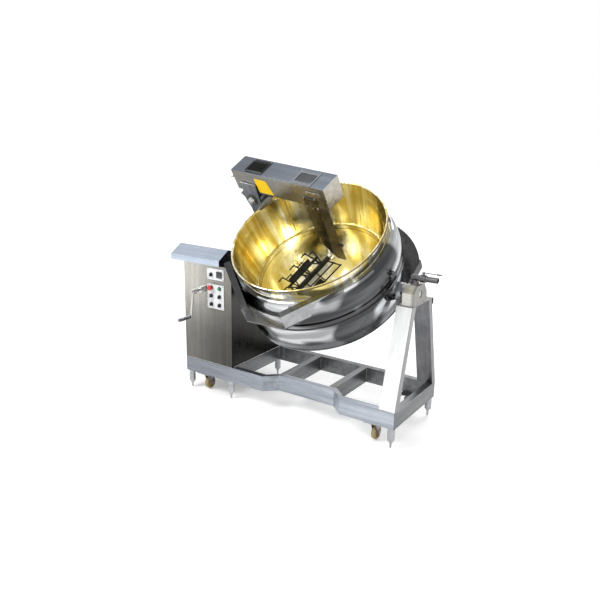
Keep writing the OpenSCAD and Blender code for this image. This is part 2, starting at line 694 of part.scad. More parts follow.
spigot_r = 13;
spigot_l = 26;
module jacket_skirt() {
    r = jacket_r - jacket_t;
    floor_r = sqrt(pow(heat_r, 2) - pow(bowl_c + skirt_low - jacket_t, 2)) + seat;
    lap = 15;
    color("gray") pot_frame() difference() {
        union() {
            revolve() polygon([[floor_r, -skirt_low], [r + 4, -skirt_low], [r + 4, -skirt_low + 6], [r, -skirt_low + 6],
                [r, lap - jacket_low], [r - jacket_t, lap - jacket_low], [r - jacket_t, jacket_t - skirt_low],
                [floor_r, jacket_t - skirt_low]]);
            for (a = drain_a) rotate([0, 0, a]) translate([drain_r, 0, -skirt_low - spigot_l])
                cylinder(r = spigot_r, h = spigot_l + 1);
        }
        for (a = drain_a) rotate([0, 0, a]) translate([drain_r, 0, -skirt_low - spigot_l - 1])
            cylinder(r = spigot_r - 4, h = 40);
    }
}
module heated_bowl() {
    top = 60;
    r_in = sqrt(pow(bowl_r + liner_t, 2) - pow(bowl_c - top, 2));
    r_out = sqrt(pow(heat_r, 2) - pow(bowl_c - top, 2));
    color("gray") pot_frame() union() {
        intersection() {
            translate([0, 0, bowl_c]) difference() {
                sphere(heat_r, $fn = big);
                sphere(heat_r - jacket_t, $fn = big);
            }
            translate([0, 0, bowl_c - heat_r - 50]) cylinder(r = heat_r + 50, h = heat_r + 50 - bowl_c + top);
        }
        revolve() polygon([[r_in + seat, top - jacket_t], [r_in + 2, top], [r_out - 1, top], [r_out - 1, top - jacket_t]]);
    }
}
// Curved box beam round the back, with solid arms that reach forward to the trunnions
boss_r = 60;
yoke_in = jacket_r + 2;
yoke_t = 4;
arm_y = yoke_r * sin(yoke_a) + 16;
module rear_yoke() {
    color("dimgray") pot_frame() union() {
        rotate([0, 0, yoke_a]) rotate_extrude(angle = 180 - 2 * yoke_a, $fn = big) translate([yoke_in, -yoke_h]) difference() {
            square([yoke_r - yoke_in, yoke_h]);
            translate([yoke_t, yoke_t]) square([yoke_r - yoke_in - 2 * yoke_t, yoke_h - 2 * yoke_t]);
        }
        for (m = [0, 1]) mirror([m, 0, 0]) difference() {
            translate([0, 0, 3 - yoke_h]) linear_extrude(yoke_h - 3)
                polygon([[jacket_r * cos(yoke_a) - 30, arm_y], [clear_x, arm_y], [clear_x, 40], [jacket_r - 60, 40]]);
            translate([0, 0, -yoke_h - 1]) cylinder(r = jacket_r, h = yoke_h + 2, $fn = big);
            rotate([0, 90, 0]) cylinder(r = boss_r, h = clear_x + 10);
        }
    }
}
module trunnion_boss(r) {
    difference() {
        rotate([0, 90, 0]) cylinder(r = r, h = clear_x);
        translate([0, 0, -100]) cylinder(r = jacket_r, h = 200, $fn = big);
    }
}
module left_trunnion() {
    reach = pot_x - shaft_end_x;
    color("silver") pot_frame() mirror([1, 0, 0]) {
        trunnion_boss(boss_r);
        translate([clear_x - eps, 0, 0]) rotate([0, 90, 0]) cylinder(r = left_shaft_r, h = reach - clear_x);
    }
}
module right_trunnion() {
    color("silver") pot_frame() {
        trunnion_boss(boss_r);
        translate([clear_x - eps, 0, 0]) rotate([0, 90, 0]) cylinder(r = right_shaft_r, h = x_right - pot_x - clear_x - 4);
    }
}
module worm_wheel() {
    tip = wheel_pitch_r + tooth_add;
    root = wheel_pitch_r - tooth_ded;
    n0 = -8;
    n1 = 5;
    step = 360 / wheel_teeth;
    color("goldenrod") translate([crank_x, axis_y, axis_z]) rotate([90, 0, 90]) translate([0, 0, -wheel_face / 2]) difference() {
        union() {
            linear_extrude(wheel_face) union() {
                circle(46);
                intersection() {
                    circle(root, $fn = big);
                    polygon(concat([[0, 0]], [for (k = [0 : 6]) let (a = (n0 - 0.5 + k * (n1 - n0 + 1) / 6) * step)
                        2 * root * [sin(a), -cos(a)]]));
                }
                for (i = [n0 : n1]) rotate(i * step) polygon([[-5.2, -root + 1], [-1.9, -tip], [1.9, -tip], [5.2, -root + 1]]);
            }
            translate([0, 0, -14]) cylinder(r = 40, h = wheel_face + 28);
        }
        translate([0, 0, -20]) cylinder(r = left_shaft_r, h = wheel_face + 40);
        // Lightening holes
        for (a = [-56, -16, 24]) rotate(a) translate([0, -88, -1]) cylinder(r = 20, h = wheel_face + 2);
    }
}

// Pouring chute
lip_x = [lip_mid - lip_w / 2, lip_mid + lip_w / 2];
guide_right = [[lip_x[1], 5 - lip_reach], (jacket_r - 43) * [cos(31.4), -sin(31.4)]];
guide_left = [[lip_x[0], -lip_reach], (jacket_r + 50) * [-cos(29.7), -sin(29.7)]];
module chute_floor() {
    color("lightsteelblue") pot_frame() difference() {
        union() {
            translate([0, 0, chute_h - jacket_t]) linear_extrude(jacket_t)
                polygon([guide_left[0], [lip_x[1], -lip_reach], guide_right[1], [0, -jacket_r / 2], guide_left[1]]);
            translate([lip_x[0], -lip_reach, chute_h - lip_fold]) cube([lip_w, jacket_t, lip_fold]);
        }
        revolve() pot_outer();
    }
}
// Folded box wall that stands on the floor between two points, its thickness to the inside
module guide_wall(a, b, side, end_cut) {
    d = (b - a) / norm(b - a);
    n = side * [-d[1], d[0]];
    t = guide_sheet;
    outline = [a, b, b + guide_t * n, a + guide_t * n + end_cut * d];
    core = [a + t * n + 8 * d, b + t * n - 8 * d, b + (guide_t - t) * n - 8 * d, a + (guide_t - t) * n + (8 + end_cut) * d];
    difference() {
        translate([0, 0, chute_h]) linear_extrude(guide_h) polygon(outline);
        translate([0, 0, chute_h - 1]) linear_extrude(guide_h - t + 1) polygon(core);
        revolve() pot_outer();
    }
}
module right_guide() { color("lightsteelblue") pot_frame() guide_wall(guide_right[0], guide_right[1], 1, 0); }
module left_guide() { color("lightsteelblue") pot_frame() guide_wall(guide_left[0], guide_left[1], -1, 18); }

// Head bracket on the yoke: a fork for the hinge, a column outside the jacket and a rest under the beam
fork_w = 10;
fork_clear = 3;
fork_front = beam_w0 - fork_clear - fork_w;
fork_back = beam_w0 + beam_w + fork_clear;
column_u = -(yoke_r - 38);      // outer face of the column on the yoke
column_in = -(jacket_r - 10);   // inner face, against the jacket
// Fork plates: the front one ends in a stepped edge, the back one runs down to the column
front_edge = [[-598, 345], [-600, 462], [-615, 506], [-623, 551], [-651, 577], [-609, 612], [-611, 642], [-632, 655], [-606, 690]];
back_edge = [[column_in, 300], [column_u, 300], [column_u, 471], [-651, 577], [-632, 655], [-606, 690]];
module fork_outline(edge) {
    difference() {
        union() {
            polygon(concat(edge, [[-457, 684], [-460, 630], [-471, 518], [-519, 465], [-575, 385], [-582, 345]]));
            translate([hinge_u, hinge_h]) circle(44);
        }
        translate([hinge_u, hinge_h]) circle(hinge_r + fit);
    }
}
module head_bracket() {
    column_w = 150;
    back = fork_back + fork_w;
    depth = back - fork_front;
    color("slategray") head_frame() difference() {
        union() {
            along_w(fork_front, fork_front + fork_w) fork_outline(front_edge);
            along_w(fork_back, back) fork_outline(back_edge);
            // Box column on the yoke, with a thicker wall against the jacket
            linear_extrude(300 + eps) difference() {
                polygon([[column_u, column_w], [column_in, column_w], [column_in + 30, back], [column_u, back]]);
                polygon([[column_u + 6, column_w + 6], [column_in - 32, column_w + 6], [column_in - 10, back - 6],
                    [column_u + 6, back - 6]]);
            }
            translate([column_u, column_w, 300]) cube([column_in - column_u, back - column_w, 70]);
            translate([column_u, column_w, 369]) cube([12, back - column_w, 96]);
            // Web between the two plates, and the rest under the beam, over the rim
            translate([-598, fork_front, 345]) cube([14, depth, 110]);
            along_w(fork_front, back) polygon([[-556, 448], [-500, 448], [-330, 570], [-318, beam_h0 - seat],
                [-360, beam_h0 - seat], [-372, 590], [-500, 500], [-556, 500]]);
        }
        translate([0, 0, -1]) cylinder(r = jacket_r + band_out + 2, h = jacket_top, $fn = big);
        // Room round the rim's bead
        cylinder(r = mouth_r + 2 * bead_r + 5, h = mouth_h + 5, $fn = big);
    }
}
module beam_cavity() {
    t = [beam_t, beam_t, beam_t];
    translate([beam_u0, beam_w0, beam_h0] + t) cube([beam_l, beam_w, beam_h] - 2 * t);
}
vent_places = [[-462, 168], [-9, 160]];
vent_l = 172;
vent_d = 136;
module beam_shell() {
    ear_r = 34;
    ear_t = 14;
    color("slategray") head_frame() union() {
        difference() {
            translate([beam_u0, beam_w0, beam_h0]) cube([beam_l, beam_w, beam_h]);
            beam_cavity();
            for (p = vent_places) translate([p[0] - vent_l / 2 + 12, p[1] - vent_d / 2 + 12, beam_h0 + beam_h - 10])
                cube([vent_l - 24, vent_d - 24, 20]);
            // Way down into the leg
            translate([10, beam_w0 + 12, beam_h0 - 1]) cube([60, 40, 10]);
        }
        // Hinge ears under the beam
        for (w = [beam_w0, beam_w0 + beam_w - ear_t]) along_w(w, w + ear_t) difference() {
            union() {
                translate([hinge_u, hinge_h]) circle(ear_r);
                polygon([[hinge_u - ear_r, hinge_h], [hinge_u - 60, beam_h0 + 1], [hinge_u + 60, beam_h0 + 1],
                    [hinge_u + ear_r, hinge_h]]);
            }
            translate([hinge_u, hinge_h]) circle(hinge_r);
        }
    }
}
module vent_covers() {
    top = beam_h0 + beam_h;
    color("dimgray") head_frame() for (k = [0, 1]) difference() {
        translate([vent_places[k][0] - vent_l / 2, vent_places[k][1] - vent_d / 2, top]) cube([vent_l, vent_d, 3]);
        for (i = [0 : 7]) translate([vent_places[k][0] - 68 + i * 18, vent_places[k][1] - 44, top - 1]) cube([11, 88, 6]);
    }
}
module hinge_pin() {
    color("gainsboro") head_frame() {
        translate([hinge_u, fork_front - 8, hinge_h]) rotate([-90, 0, 0])
            cylinder(r = hinge_r, h = fork_back + fork_w - fork_front + 16);
        for (w = [fork_front - 10 - seat, fork_back + fork_w + seat]) translate([hinge_u, w, hinge_h])
            rotate([-90, 0, 0]) cylinder(r = 30, h = 10);
    }
}
leg_u = [-22, 102];
leg_tip_u = [12, 118];
leg_d = 65;
leg_foot = 60;
sleeve_r = 23;
sleeve_l = 50;
end_r = 12;
module leg_sides(t) {
    polygon([[leg_u[0] + t, beam_h0 + 2], [leg_u[1] - t, beam_h0 + 2], [leg_tip_u[1] - t, leg_foot],
        [leg_tip_u[0] + t - 8, leg_foot]]);
}
// All that lies beyond a plane across the stirrer's axis
module beyond(z) { stir_frame() translate([-400, -400, z]) cube([800, 800, 600]); }
module leg_case() {
    t = 3;
    front = beam_w0 - 4;
    leg_w0 = leg_u[1] - leg_u[0];
    color("dimgray") difference() {
        head_frame() union() {
            difference() {
                along_w(front, beam_w0 + leg_d) leg_sides(0);
                translate([leg_u[0] - 10, beam_w0, beam_h0]) cube([leg_w0 + 40, leg_d + 10, 30]);
            }
            // Clamp plate on the beam's front, with its slot
            difference() {
                translate([leg_u[0], front, beam_h0 - 20]) cube([leg_w0, 4, 100]);
                translate([leg_u[0] + 18, front - 6, beam_h0 + 58]) cube([leg_w0 - 30, 20, 10]);
            }
        }
        difference() {
            head_frame() difference() {
                along_w(front + t, beam_w0 + leg_d - t) leg_sides(t);
                translate([leg_u[0], 0, beam_h0]) cube([leg_w0, 200, 20]);
            }
            beyond(-t);
        }
        beyond(0);
        stir_frame() translate([0, 0, -30]) cylinder(r = sleeve_r + 1, h = 60);
    }
}
module leg_bearing() {
    plate = [100, 92, 14];
    spigot = 18;
    color("gainsboro") stir_frame() difference() {
        union() {
            rotate([0, 0, -stir_phase]) translate([-plate[0] / 2, -plate[1] / 2, 0]) cube(plate);
            cylinder(r1 = sleeve_r + 14, r2 = sleeve_r, h = plate[2] + 12);
            cylinder(r = sleeve_r, h = sleeve_l);
            translate([0, 0, -spigot]) cylinder(r = sleeve_r + 1 - fit, h = spigot + 1);
        }
        translate([0, 0, -spigot - 1]) cylinder(r = end_r + fit, h = sleeve_l + spigot + 2);
    }
}
module drive_motor() {
    floor_h = beam_h0 + beam_t;
    motor_r = 62;
    motor_l = 230;
    gear_l = 230;
    gear_u = leg_u[0] - 98;
    motor_u = gear_u - 80 - motor_l;
    color("gray") head_frame() translate([0, beam_w0 + beam_w / 2, floor_h]) {
        translate([motor_u, 0, motor_r]) rotate([0, 90, 0]) cylinder(r = motor_r, h = motor_l);
        translate([motor_u, 12 - motor_r, 0]) cube([motor_l, 2 * motor_r - 24, 14]);
        translate([motor_u + motor_l + eps, 0, motor_r]) rotate([0, 90, 0]) cylinder(r = 22, h = 80);
        translate([gear_u, 12 - beam_w / 2, 0]) cube([gear_l, beam_w - 24, 2 * motor_r - 4]);
    }
}
module probe_rod() {
    tip_h = 300;
    color("whitesmoke") head_frame() translate([-240, beam_w0 + 14, 0]) {
        translate([0, 0, tip_h + 6]) cylinder(r = 5, h = beam_h0 - tip_h - 6);
        translate([0, 0, tip_h]) cylinder(r1 = 2, r2 = 5, h = 6 + eps);
        translate([0, 0, beam_h0 - 22]) cylinder(r = 13, h = 22);
    }
}

// Stirrer: +Z down its own shaft, +X towards the pads
module rod(a, b, r) {
    d = b - a;
    translate(a) rotate([0, acos(d[2] / norm(d)), atan2(d[1], d[0])]) cylinder(r = r, h = norm(d), $fn = 16);
}
module stirrer_shaft() {
    point = 12;
    color("dimgray") stir_frame() {
        translate([0, 0, -18]) cylinder(r = end_r, h = sleeve_l + 19);
        translate([0, 0, sleeve_l + seat]) cylinder(r = shaft_r, h = stir_l - sleeve_l - seat - point);
        translate([0, 0, stir_l - point]) cylinder(r1 = shaft_r, r2 = shaft_r - 7, h = point);
    }
}
tine_z = [133, 259, 391];
// Rows of tines: turn about the shaft and reach
tine_rows = [[-66, tine_r], [-32, tine_r], [22, short_tine_r]];
module tine(z, reach) {
    corner = [wire_r - reach, 0, z];
    rod([2 - shaft_r, 0, z], corner, wire_r);
    translate(corner) sphere(wire_r + 0.4, $fn = 24);
    rod(corner, corner + [0, 0, tine_end], wire_r - 0.3);
}
// Rods of the second frame; the pads fill the bays between them
frame_rods = [105, 219, 333, 447];
frame_wire = wire_r + 0.6;
pad_turn = -12;
module stirrer_blades() {
    bar_z = [118, 460];
    blade_z = [185, 410];
    frame_z = [64, frame_rods[3]];
    outer_z = [50, 420];
    fin_r = frame_r + 10;
    past = wire_r + 2;
    color("black") stir_frame() difference() {
        union() {
            // Blade on its square bar, on short carriers
            translate([-bar_r - bar_side / 2, -bar_side / 2, bar_z[0]]) cube([bar_side, bar_side, bar_z[1] - bar_z[0]]);
            translate([-bar_r - bar_side / 2 - blade_w, -blade_t / 2, blade_z[0]]) cube([blade_w + 1, blade_t, blade_z[1] - blade_z[0]]);
            for (z = [150, 300, 445]) rod([2 - shaft_r, 0, z], [-bar_r, 0, z], wire_r + 1);
            for (row = tine_rows, z = tine_z) rotate([0, 0, row[0]]) tine(z, row[1]);
            // Second frame of rods, with a plate between its bars
            rotate([0, 0, pad_turn]) {
                rod([frame_r, 0, frame_z[0]], [frame_r, 0, frame_z[1] + past], frame_wire);
                rod([frame_out_r, 0, outer_z[0] - past], [frame_out_r, 0, outer_z[1] + past], frame_wire);
                rod([shaft_r - 2, 0, frame_z[0] + 24], [frame_out_r, 0, outer_z[0]], wire_r);
                for (z = [frame_rods[1], frame_rods[2]]) rod([shaft_r - 2, 0, z], [frame_out_r, 0, z], wire_r);
                rod([shaft_r - 2, 0, frame_z[1]], [frame_r, 0, frame_z[1]], wire_r);
                rod([frame_r, 0, frame_z[1]], [frame_out_r, 0, outer_z[1]], wire_r - 0.5);
                translate([fin_r, -1.5, 230]) cube([frame_out_r - fin_r, 3, 188]);
            }
        }
        cylinder(r = shaft_r, h = stir_l);
    }
}
module scraper_pads() {
    inner = shaft_r + seat;
    outer = frame_r - frame_wire - seat;
    bay = frame_rods[1] - frame_rods[0];
    color("lightgray") stir_frame() rotate([0, 0, pad_turn]) for (i = [0 : 2])
        translate([inner, -pad_t / 2, frame_rods[i] + (bay - pad_l) / 2]) cube([outer - inner, pad_t, pad_l]);
}

front_rail();
frame_tubes();
foot_sleeves();
foot_screws();
caster_plates();
caster_fork(0);  // caster_fork_1
caster_fork(1);  // caster_fork_2
caster_fork(2);  // caster_fork_3
caster_fork(3);  // caster_fork_4
caster_wheel(0);  // caster_wheel_1
caster_wheel(1);  // caster_wheel_2
caster_wheel(2);  // caster_wheel_3
caster_wheel(3);  // caster_wheel_4
front_leg();
rear_leg();
leg_cap();
bearing_block();
supply_pipe();
valve_lever();
cabinet_shell();
cabinet_back();
cabinet_cap();
gear_frame();
crank_bush();
control_plates();
temperature_controller();
button_bezels();
emergency_button();
start_button();
selector(0);  // selector_1
selector(1);  // selector_2
selector(2);  // selector_3
selector(3);  // selector_4
selector(4);  // selector_5
crank_shaft();
crank_arm();
crank_grip();
pot_liner();
jacket_shell();
jacket_band();
jacket_skirt();
heated_bowl();
rear_yoke();
left_trunnion();
right_trunnion();
worm_wheel();
chute_floor();
left_guide();
right_guide();
head_bracket();
beam_shell();
vent_covers();
leg_case();
leg_bearing();
drive_motor();
probe_rod();
hinge_pin();
stirrer_shaft();
stirrer_blades();
scraper_pads();
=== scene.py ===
import math

import bmesh
import bpy
from mathutils import Matrix, Vector


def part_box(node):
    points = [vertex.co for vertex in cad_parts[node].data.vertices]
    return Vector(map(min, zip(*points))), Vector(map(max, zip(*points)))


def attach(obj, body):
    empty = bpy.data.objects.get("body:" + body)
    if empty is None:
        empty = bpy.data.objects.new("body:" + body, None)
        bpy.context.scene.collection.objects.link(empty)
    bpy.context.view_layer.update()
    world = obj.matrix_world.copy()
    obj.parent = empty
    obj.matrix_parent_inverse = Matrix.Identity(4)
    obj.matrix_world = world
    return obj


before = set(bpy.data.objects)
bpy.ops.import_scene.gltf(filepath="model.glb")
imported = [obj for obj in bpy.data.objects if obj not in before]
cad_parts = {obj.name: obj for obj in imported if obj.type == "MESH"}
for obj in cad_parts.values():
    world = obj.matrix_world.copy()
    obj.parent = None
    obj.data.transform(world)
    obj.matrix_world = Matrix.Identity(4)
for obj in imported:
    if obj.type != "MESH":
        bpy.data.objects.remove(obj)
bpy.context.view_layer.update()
print("frame loaded:", len(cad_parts), "nodes")

# Where things are, in metres, as the part's source has them
base = {"left": -0.930, "right": 0.930, "front": -0.2178, "back": 0.4622, "top": 0.270}
pot = {"x": 0.180, "y": 0.07218, "z": 1.030, "tilt": math.radians(34)}
headTurn = math.radians(-9.1)
# the leg's right side leans by lean[0] in lean[1], and stands at x = 0 in the leg's own frame
leg = {"side": (0.102, 0, 0.610), "lean": (0.016, 0.550)}

potFrame = Matrix.Translation((pot["x"], pot["y"], pot["z"])) @ Matrix.Rotation(pot["tilt"], 4, "X")
headFrame = potFrame @ Matrix.Rotation(headTurn, 4, "Z")
# the leg's own frame also places the painted highlight on its right side
legFrame = headFrame @ Matrix.Translation(leg["side"]) @ Matrix.Rotation(math.atan2(*leg["lean"]), 4, "Y")


# Material helpers
def newLook(name):
    look = bpy.data.materials.new(name)
    look.use_nodes = True
    tree = look.node_tree
    return look, tree, tree.nodes["Principled BSDF"]


def addNode(tree, kind, inputs=None, **settings):
    node = tree.nodes.new(kind)
    for key, value in settings.items():
        setattr(node, key, value)
    for key, value in (inputs or {}).items():
        if isinstance(value, bpy.types.NodeSocket):
            tree.links.new(value, node.inputs[key])
        else:
            node.inputs[key].default_value = value
    return node


def objectPoint(tree, frameOf=None, stretch=(1, 1, 1)):
    coords = addNode(tree, "ShaderNodeTexCoord").outputs["Object"]
    if frameOf is not None:  # into the tilted pot's or head's own axes
        place, turn, _ = frameOf.decompose()
        inputs = {"Vector": coords, "Location": place, "Rotation": turn.to_euler()}
        coords = addNode(tree, "ShaderNodeMapping", inputs, vector_type="TEXTURE").outputs["Vector"]
    if stretch != (1, 1, 1):
        coords = addNode(tree, "ShaderNodeMapping", {"Vector": coords, "Scale": stretch}).outputs["Vector"]
    return coords


def noise(tree, point, scale, detail=4.0, rough=0.6):
    inputs = {"Vector": point, "Scale": scale, "Detail": detail, "Roughness": rough}
    return addNode(tree, "ShaderNodeTexNoise", inputs).outputs["Fac"]


def ramp(tree, value, low, high, lowTo=0.0, highTo=1.0, soft=False):
    inputs = {"Value": value, "From Min": low, "From Max": high, "To Min": lowTo, "To Max": highTo}
    kind = "SMOOTHSTEP" if soft else "LINEAR"
    return addNode(tree, "ShaderNodeMapRange", inputs, interpolation_type=kind).outputs["Result"]


def maths(tree, kind, a, b=0.0):
    return addNode(tree, "ShaderNodeMath", {0: a, 1: b}, operation=kind).outputs[0]


def blendColour(tree, factor, a, b, kind="MIX"):
    mix = addNode(tree, "ShaderNodeMix", data_type="RGBA", blend_type=kind)
    for socket, value in ((mix.inputs[0], factor), (mix.inputs[6], a), (mix.inputs[7], b)):
        if isinstance(value, bpy.types.NodeSocket):
            tree.links.new(value, socket)
        else:
            socket.default_value = value if isinstance(value, float) else (*value, 1.0)
    return mix.outputs[2]


def toned(tone, factor):
    return tuple(min(1, c * factor) for c in tone)


def across(low, high, first, last):
    # a change of tone from left to right, with the factor of the colour at each end; the looks use these
    # changes for painted light and shade
    return 0, low, high, first, last


def upward(low, high, first, last):
    return 2, low, high, first, last


# multiplies the colour by each change of tone: painted light and shade on the surface
def shade(tree, colour, parts, shades):
    for axis, low, high, first, last in shades:
        if isinstance(first, tuple):
            factor = blendColour(tree, ramp(tree, parts[axis], low, high), first, last)
        else:
            factor = ramp(tree, parts[axis], low, high, first, last, True)
        colour = blendColour(tree, 1.0, colour, factor, "MULTIPLY")
    return colour


def inBox(tree, parts, low, high, edge=0.001):
    # 1 inside a box given in the parts' axes, 0 outside: for what lies within a closed case
    inside = 1.0
    for axis in range(3):
        for limit, way in ((low[axis], 1), (high[axis], -1)):
            inside = maths(tree, "MULTIPLY", inside, ramp(tree, parts[axis], limit, limit + way * edge))
    return inside


def wornNormal(tree, shader, height, depth, strength=0.5, edge=0.0012):
    soft = addNode(tree, "ShaderNodeBevel", {"Radius": edge}, samples=4).outputs["Normal"]
    inputs = {"Height": height, "Distance": depth, "Strength": strength, "Normal": soft}
    bump = addNode(tree, "ShaderNodeBump", inputs)
    tree.links.new(bump.outputs["Normal"], shader.inputs["Normal"])


def circleParts(tree, frameOf):
    # the point's parts in the pot's frame, with its radius and its angle about the pot's axis
    parts = addNode(tree, "ShaderNodeSeparateXYZ", {0: objectPoint(tree, frameOf)}).outputs
    squares = [maths(tree, "MULTIPLY", parts[axis], parts[axis]) for axis in (0, 1)]
    radius = maths(tree, "SQRT", maths(tree, "ADD", *squares))
    return parts, radius, maths(tree, "ARCTAN2", parts[1], parts[0])


def around(tree, radius, height, angle, scales):
    scaled = [maths(tree, "MULTIPLY", v, s) for v, s in zip((radius, height, angle), scales)]
    return addNode(tree, "ShaderNodeCombineXYZ", dict(enumerate(scaled))).outputs[0]


def ringNoise(tree, circle, grain, marks):
    parts, radius, angle = circle
    return noise(tree, around(tree, radius, parts[2], angle, grain), *marks)


def setMetal(tree, shader, colour, rough):
    tree.links.new(colour, shader.inputs["Base Color"])
    tree.links.new(rough, shader.inputs["Roughness"])
    shader.inputs["Metallic"].default_value = 1.0


# each mark of a look: its noise's scale, detail and roughness
steelMarks = {"fine": (1.0, 5.0, 0.65), "broad": (1.0, 3.0, 0.55), "clouds": (3.1, 3.0),
              "smudge": (17.0, 5.0, 0.7)}
steelDepth = 0.00006


def brushedSteel(name, tone, grain, roughness=0.32, streaks=0.12, frameOf=None, stain=0.25, shades=(),
                 dark=None):
    # sheet with its grain along one axis, broad bands, faint stains and smudges, painted light and shade
    # along the axes and painted shade inside a closed box
    look, tree, shader = newLook(name)
    point = objectPoint(tree, frameOf)
    parts = addNode(tree, "ShaderNodeSeparateXYZ", {0: point}).outputs
    fine = noise(tree, objectPoint(tree, frameOf, grain), *steelMarks["fine"])
    broadGrain = tuple(g * 0.03 + 1.2 for g in grain)
    broad = noise(tree, objectPoint(tree, frameOf, broadGrain), *steelMarks["broad"])
    clouds = noise(tree, point, *steelMarks["clouds"])
    smudge = noise(tree, point, *steelMarks["smudge"])
    low, bandLow, high = 1 - 2.2 * streaks, 1 - 1.6 * streaks, 1 + 1.2 * streaks
    lines = blendColour(tree, ramp(tree, fine, 0.32, 0.68), toned(tone, low), toned(tone, high))
    bands = blendColour(tree, 1.0, lines, ramp(tree, broad, 0.35, 0.65, bandLow, high), "MULTIPLY")
    colour = blendColour(tree, ramp(tree, clouds, 0.46, 0.74, 0.0, stain), bands, toned(tone, 0.55))
    # painted light and shade along the axes
    colour = shade(tree, colour, parts, shades)
    # inside the given box the colour goes near black: painted shade in a closed, unlit case
    if dark:
        colour = blendColour(tree, inBox(tree, parts, *dark), colour, toned(tone, 0.06))
    smudged = ramp(tree, smudge, 0.4, 0.7, roughness - 0.05, roughness + 0.09)
    setMetal(tree, shader, colour, maths(tree, "ADD", smudged, ramp(tree, fine, 0.3, 0.7, -0.03, 0.05)))
    wornNormal(tree, shader, fine, steelDepth, 0.55)
    return look


mirrorMarks = {"rings": (1.0, 4.0, 0.6), "fields": (1.0, 1.2, 0.4), "small": (1.0, 2.0, 0.5),
               "plainReflectionFields": (2.3, 1.2, 0.45), "plainSmallReflections": (6.0, 2.0, 0.45), "smudge": (23.0, 4.0, 0.7)}
# how fine they are along the radius, the height and the angle
mirrorGrain = {"rings": (420, 420, 1.6), "fields": (2.0, 4.5, 1.7), "small": (3.0, 16.0, 1.2)}


def mirrorSteel(name, tone, roughness, frameOf, patches, depth=0.00002, plain=False):
    # polished in rings about the pot's axis, with broad duller and brighter areas and smaller bands painted
    # in as reflection of the surroundings
    look, tree, shader = newLook(name)
    circle = circleParts(tree, frameOf)
    rings = ringNoise(tree, circle, mirrorGrain["rings"], mirrorMarks["rings"])
    if plain:  # near the axis the angle changes too fast for broad fields
        fields = noise(tree, objectPoint(tree, frameOf), *mirrorMarks["plainReflectionFields"])
        small = noise(tree, objectPoint(tree, frameOf), *mirrorMarks["plainSmallReflections"])
    else:
        fields = ringNoise(tree, circle, mirrorGrain["fields"], mirrorMarks["fields"])
        small = ringNoise(tree, circle, mirrorGrain["small"], mirrorMarks["small"])
    smudge = noise(tree, objectPoint(tree, frameOf), *mirrorMarks["smudge"])
    lines = blendColour(tree, ramp(tree, rings, 0.3, 0.7), toned(tone, 0.88), toned(tone, 1.08))
    # the broad areas and the small bands raise and lower the colour: painted reflection of the surroundings
    broad = blendColour(tree, 1.0, lines, ramp(tree, fields, 0.47, 0.55, *patches, True), "MULTIPLY")
    colour = blendColour(tree, 1.0, broad, ramp(tree, small, 0.42, 0.6, 0.7, 1.3), "MULTIPLY")
    smudged = ramp(tree, smudge, 0.42, 0.7, roughness * 0.7, roughness * 1.6)
    setMetal(tree, shader, colour, maths(tree, "ADD", smudged, ramp(tree, rings, 0.3, 0.7, -0.01, 0.02)))
    wornNormal(tree, shader, rings, depth, 0.3)
    return look


goldMarks = {"streaks": (1.0, 4.0, 0.65), "rubbed": (4.2, 4.0, 0.6), "rings": (1.0, 4.0, 0.6),
             "spots": (70.0, 3.0, 0.7)}
goldGrain = {"streaks": (0.6, 0.8, 9.0), "rings": (500, 500, 2.0)}
# painted shade of the pressed strip's grooves under the seam: how far below it each line is, half its width
# and how much it darkens
seamLines = ((0.0035, 0.002, 0.3), (0.034, 0.0015, 0.45), (0.018, 0.012, 0.8))
browning = (0.16, 0.11, 0.05)


def goldLiner(name, deep, pale, seam, rim, roughness=0.12):
    # polished gold lining: broad near-white streaks down the wall as painted reflection, rings and broad
    # paler areas in the bowl
    look, tree, shader = newLook(name)
    circle = circleParts(tree, potFrame)
    parts, radius, _ = circle
    wall = ramp(tree, parts[2], seam - 0.002, seam + 0.002)
    streaks = ringNoise(tree, circle, goldGrain["streaks"], goldMarks["streaks"])
    rubbed = noise(tree, objectPoint(tree, potFrame), *goldMarks["rubbed"])
    rings = ringNoise(tree, circle, goldGrain["rings"], goldMarks["rings"])
    # on the wall the near-white streaks are painted reflection; in the bowl the colour turns paler in broad
    # areas
    amounts = {0: wall, 2: ramp(tree, rubbed, 0.42, 0.62, 0.0, 0.9), 3: ramp(tree, streaks, 0.45, 0.56)}
    amount = addNode(tree, "ShaderNodeMix", amounts).outputs[0]
    colour = blendColour(tree, amount, deep, pale)
    fine = blendColour(tree, 1.0, colour, ramp(tree, rings, 0.3, 0.7, 0.9, 1.06), "MULTIPLY")
    spots = noise(tree, objectPoint(tree, potFrame), *goldMarks["spots"])
    lined = blendColour(tree, ramp(tree, spots, 0.62, 0.74, 0.0, 0.45), fine, toned(deep, 0.5))
    # lines of painted shade under the seam, for the grooves of the pressed strip
    for below, width, darkest in seamLines:
        near = maths(tree, "ABSOLUTE", maths(tree, "SUBTRACT", parts[2], seam - below))
        line = ramp(tree, near, width, width + 0.0025, darkest, 1.0)
        lined = blendColour(tree, 1.0, lined, line, "MULTIPLY")
    # the bead round the mouth is browned outside its crown
    outside = ramp(tree, radius, rim[0], rim[0] + 0.002)
    browned = maths(tree, "MULTIPLY", outside, ramp(tree, parts[2], rim[1] - 0.012, rim[1] - 0.006))
    worn = ramp(tree, rubbed, 0.4, 0.65, roughness, roughness + 0.12)
    rough = maths(tree, "ADD", worn, ramp(tree, rings, 0.3, 0.7, -0.03, 0.03))
    setMetal(tree, shader, blendColour(tree, browned, lined, browning), rough)
    wornNormal(tree, shader, rings, 0.00005, 0.4)
    return look


scuffMarks = (40.0, 6.0, 0.75)


